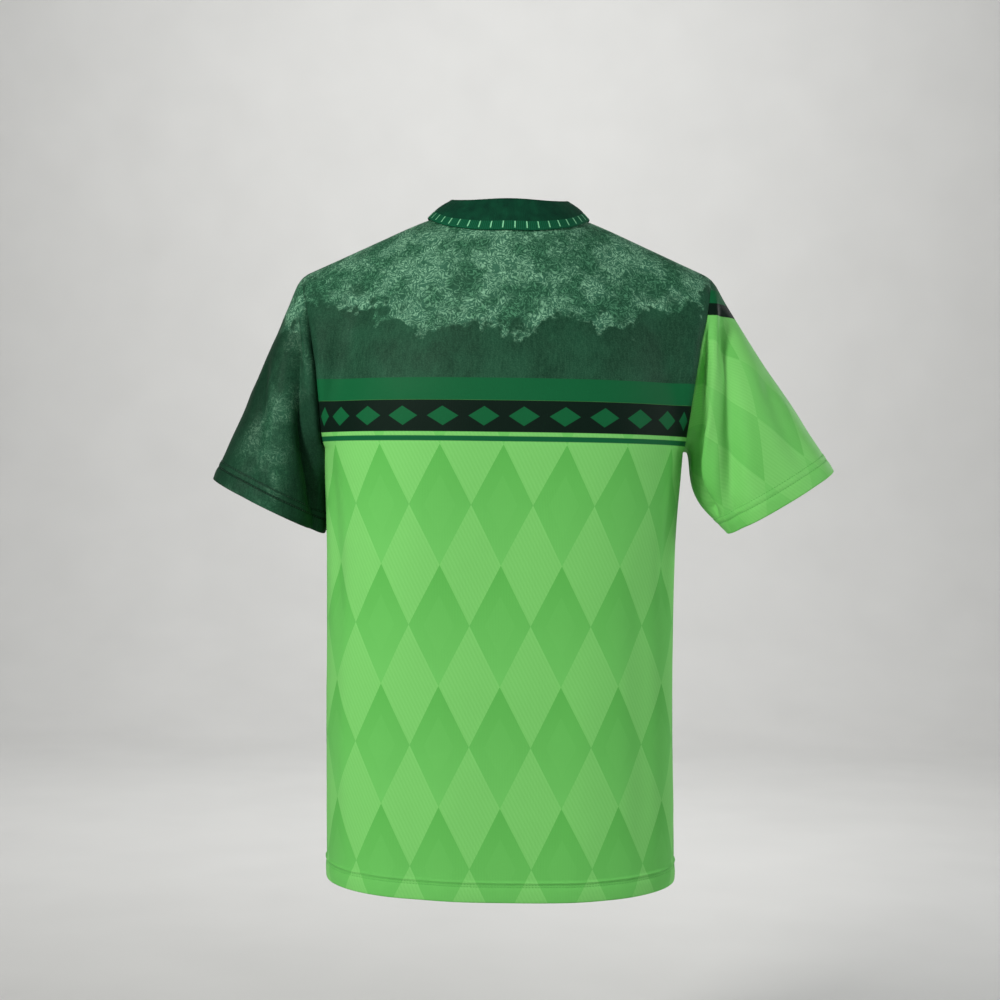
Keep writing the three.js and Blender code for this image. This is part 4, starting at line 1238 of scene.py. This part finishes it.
def left_sleeve_material():
    """Dark marl with pale patches, and painted shade near the ridge and the underarm on its lower part and
    along the stitching.
    """
    g = Graph("dark_marl_knit")
    u, v = g.flat()
    place, (_, _, z) = g.place()
    cloud = g.noise(place, "sleeve_cloud")
    off_ridge = g.math("ABSOLUTE", u)
    near_top = g.ramp(g.times_plus(g.minus(cloud, 0.5), 90, z), -113, -107)
    near_top = g.times(near_top, g.ramp(off_ridge, 78, 52))
    patches = g.times(g.ramp(g.off(off_ridge, 88), 48, 20), g.ramp(cloud, 0.4, 0.62, 0, 0.42, soft=True))
    colour, _ = marl(g, place, g.math("MAXIMUM", near_top, patches))
    # Painted shade: below the top of the sleeve, the marl is darkened towards the shade colour near the ridge
    # and near the underarm.
    shade_near_ridge = g.ramp(off_ridge, 95, 35, soft=True)
    dark = g.math("MAXIMUM", shade_near_ridge, g.ramp(off_ridge, 108, 140, 0, 0.8, soft=True))
    colour = g.mix(g.times(g.times(dark, g.ramp(z, -95, -135)), 0.55), colour, "shade")
    # Painted shade: dark lines along the stitching rows, for the shade in the hem's grooves.
    for row, depth in zip(HEMS["sleeve"].stitching, (0.8, 0.45)):
        colour = g.mix(g.ramp(g.off(v, -row), 1.6, 0.5, 0, depth), colour, "shade")
    return g.finish_knit(colour, u, v, place)


def right_sleeve_material():
    g = Graph("bright_knit")
    u, v = g.flat()
    place, (_, _, z) = g.place()
    colour = g.mix(g.above(z, RIGHT_TOP.ink), lozenges(g, u, v, 30, 0.6), "ink")
    colour = g.mix(g.above(z, RIGHT_TOP.band), colour, "band")
    yoke, _ = marl(g, place, RIGHT_TOP.marl)
    return g.finish_knit(g.mix(g.above(z, RIGHT_TOP.yoke), colour, yoke), u, v, place)


def collar_material():
    """Plain rib knit with a brighter edge band, which has light ticks on its outer face. The band's rib
    grooves and the ticks' course grooves get painted shade.
    """
    g = Graph("collar_rib")
    u, v = g.flat()
    place, _ = g.place()
    ribs, courses = g.wave(u, RIB.wale), g.wave(v, RIB.course)
    plain = g.mix(g.ramp(g.noise(place, "collar_cloud"), 0.3, 0.7), "collar_deep", "collar")
    in_band = g.ramp(v, COLLAR_EDGE_BAND + 0.1, COLLAR_EDGE_BAND - 0.1)
    # Painted shade: the band's rib grooves take the darker collar_rib colour.
    colour = g.mix(in_band, plain, g.mix(ribs, "collar_rib", "collar_band"))
    tick = g.times(g.ramp(g.off_repeat(u, TICKS.pitch), 0.062, 0.045), g.between(v, TICKS.low, TICKS.high))
    tick = g.times(tick, g.minus(1, g.inside()))
    # Painted shade: the ticks are dimmer in the course grooves.
    colour = g.mix(g.times(tick, g.ramp(courses, 0, 1, 0.72, 1.0)), colour, "tick")
    relief = g.math("ADD", g.times_plus(courses, 0.3, g.times(ribs, 0.8)), g.times(tick, 0.8))
    normal = g.bump(relief, 0.5, 0.00045)
    normal = g.bump(g.noise(place, "collar_yarn"), 0.3, 0.0002, normal)
    return g.finish(colour, normal, 0.8, 0.01, 0.08)


def thread_material(name, colour):
    g = Graph(name)
    _, (x, y, z) = g.place()
    twist = g.wave(g.math("ADD", g.math("ADD", x, y), z), THREAD_TWIST)
    shade = g.mix(g.times(twist, 0.3), colour, "thread_shade")
    return g.finish(shade, g.bump(twist, 0.4, 0.0001), 0.55, 0.2)


# What each piece is made of and stands for

MATERIALS = {
    "body": torso_material(), "left": left_sleeve_material(), "right": right_sleeve_material(),
    "collar": collar_material(), "thread": thread_material("green_thread", "thread"),
    "dark_thread": thread_material("dark_green_thread", "dark_thread"),
}
PARTS = rows(
    "piece material node slot",
    ("back_panel", "body", "back", "body_green"),
    ("front_panel", "body", "front", "body_green"),
    ("left_sleeve", "left", "sleeve_left", "yoke_green"),
    ("right_sleeve", "right", "sleeve_right", "body_green"),
    ("knit_collar", "collar", "collar", "collar_green"),
    ("hem_stitching", "thread", None, "body_green"),
    ("left_sleeve_stitching", "dark_thread", None, "yoke_green"),
    ("right_sleeve_stitching", "thread", None, "body_green"),
)
for row in PARTS:
    piece = pieces[row.piece]
    piece.data.materials.append(MATERIALS[row.material])
    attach(piece, "root")
    if row.node:
        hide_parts(row.node)

CUTS = rows(
    "piece width length area",
    ("back_panel", 0.52, 0.72, 0.330),
    ("front_panel", 0.52, 0.70, 0.325),
    ("left_sleeve", 0.42, 0.24, 0.062),
    ("right_sleeve", 0.42, 0.25, 0.070),
    ("knit_collar", 0.47, 0.075, 0.0335),
)


# Camera, floor and light, in metres

CAMERA = SimpleNamespace(place=(-0.0052, -1.8, -0.290), roll=math.radians(-0.75), sensor=36, lens=62.2)
FLOOR = SimpleNamespace(z=-1.05, front=-4.0, half_width=6.0, bend=3.4, radius=1.6, steps=24, top=5.0)
LIGHTS = rows(
    "name place aim size watts colour",
    ("key", (-1.6, -2.1, 0.85), (0, 0, -0.25), 0.55, 68, (1.0, 0.98, 0.95)),
    ("fill", (0.6, -2.7, 0.3), (0, 0, -0.25), 1.0, 4.5, (0.95, 0.98, 1.0)),
    ("side", (2.3, -0.35, 0.3), (0.1, 0, -0.25), 0.8, 22, (1.0, 1.0, 1.0)),
    ("rim", (1.5, 1.6, 0.4), (0.2, 0, -0.15), 0.3, 5, (1.0, 1.0, 1.0)),
    ("backdrop", (0.0, 1.3, 2.1), (0, 4.8, 0.6), 1.6, 130, (1.0, 1.0, 1.0)),
)
ROOM_LIGHT = SimpleNamespace(colour=(0.9, 0.93, 0.95, 1), strength=0.065)


def add_camera():
    data = bpy.data.cameras.new("camera")
    data.sensor_width = CAMERA.sensor
    data.lens = CAMERA.lens
    camera = bpy.data.objects.new("camera", data)
    camera.matrix_world = (
        Matrix.Translation(CAMERA.place)
        @ Matrix.Rotation(CAMERA.roll, 4, "Y")
        @ Matrix.Rotation(math.pi / 2, 4, "X")
    )
    bpy.context.scene.collection.objects.link(camera)
    bpy.context.scene.camera = camera


def add_floor():
    """A pale floor that bends up into a wall far behind."""
    outline = [(FLOOR.front, FLOOR.z)]
    for i in range(FLOOR.steps + 1):
        a = math.pi / 2 * i / FLOOR.steps
        up = FLOOR.radius * (1 - math.cos(a))
        outline.append((FLOOR.bend + FLOOR.radius * math.sin(a), FLOOR.z + up))
    outline.append((FLOOR.bend + FLOOR.radius, FLOOR.top))
    points = [(x, y, z) for y, z in outline for x in (-FLOOR.half_width, FLOOR.half_width)]
    faces = [(2 * i, 2 * i + 1, 2 * i + 3, 2 * i + 2) for i in range(len(outline) - 1)]
    floor = add_mesh("floor", points, faces)
    g = Graph("pale_floor")
    place, _ = g.place()
    shade = g.mix(g.noise(place, "floor_cloud"), "floor", "pale_floor")
    normal = g.bump(g.noise(place, "floor_grain"), 0.05, 0.0005)
    floor.data.materials.append(g.finish(shade, normal, 0.85, 0.0, 0.2))


def add_lights():
    for row in LIGHTS:
        data = bpy.data.lights.new(row.name, "AREA")
        data.shape = "SQUARE"
        data.size = row.size
        data.energy = row.watts
        data.color = row.colour
        light = bpy.data.objects.new(row.name, data)
        turn = (Vector(row.place) - Vector(row.aim)).to_track_quat("Z", "Y").to_matrix().to_4x4()
        light.matrix_world = Matrix.Translation(row.place) @ turn
        bpy.context.scene.collection.objects.link(light)
    world = bpy.data.worlds.new("studio")
    world.use_nodes = True
    background = world.node_tree.nodes["Background"]
    background.inputs["Color"].default_value = ROOM_LIGHT.colour
    background.inputs["Strength"].default_value = ROOM_LIGHT.strength
    bpy.context.scene.world = world
    bpy.context.scene.view_settings.view_transform = "Standard"


add_camera()
add_floor()
add_lights()
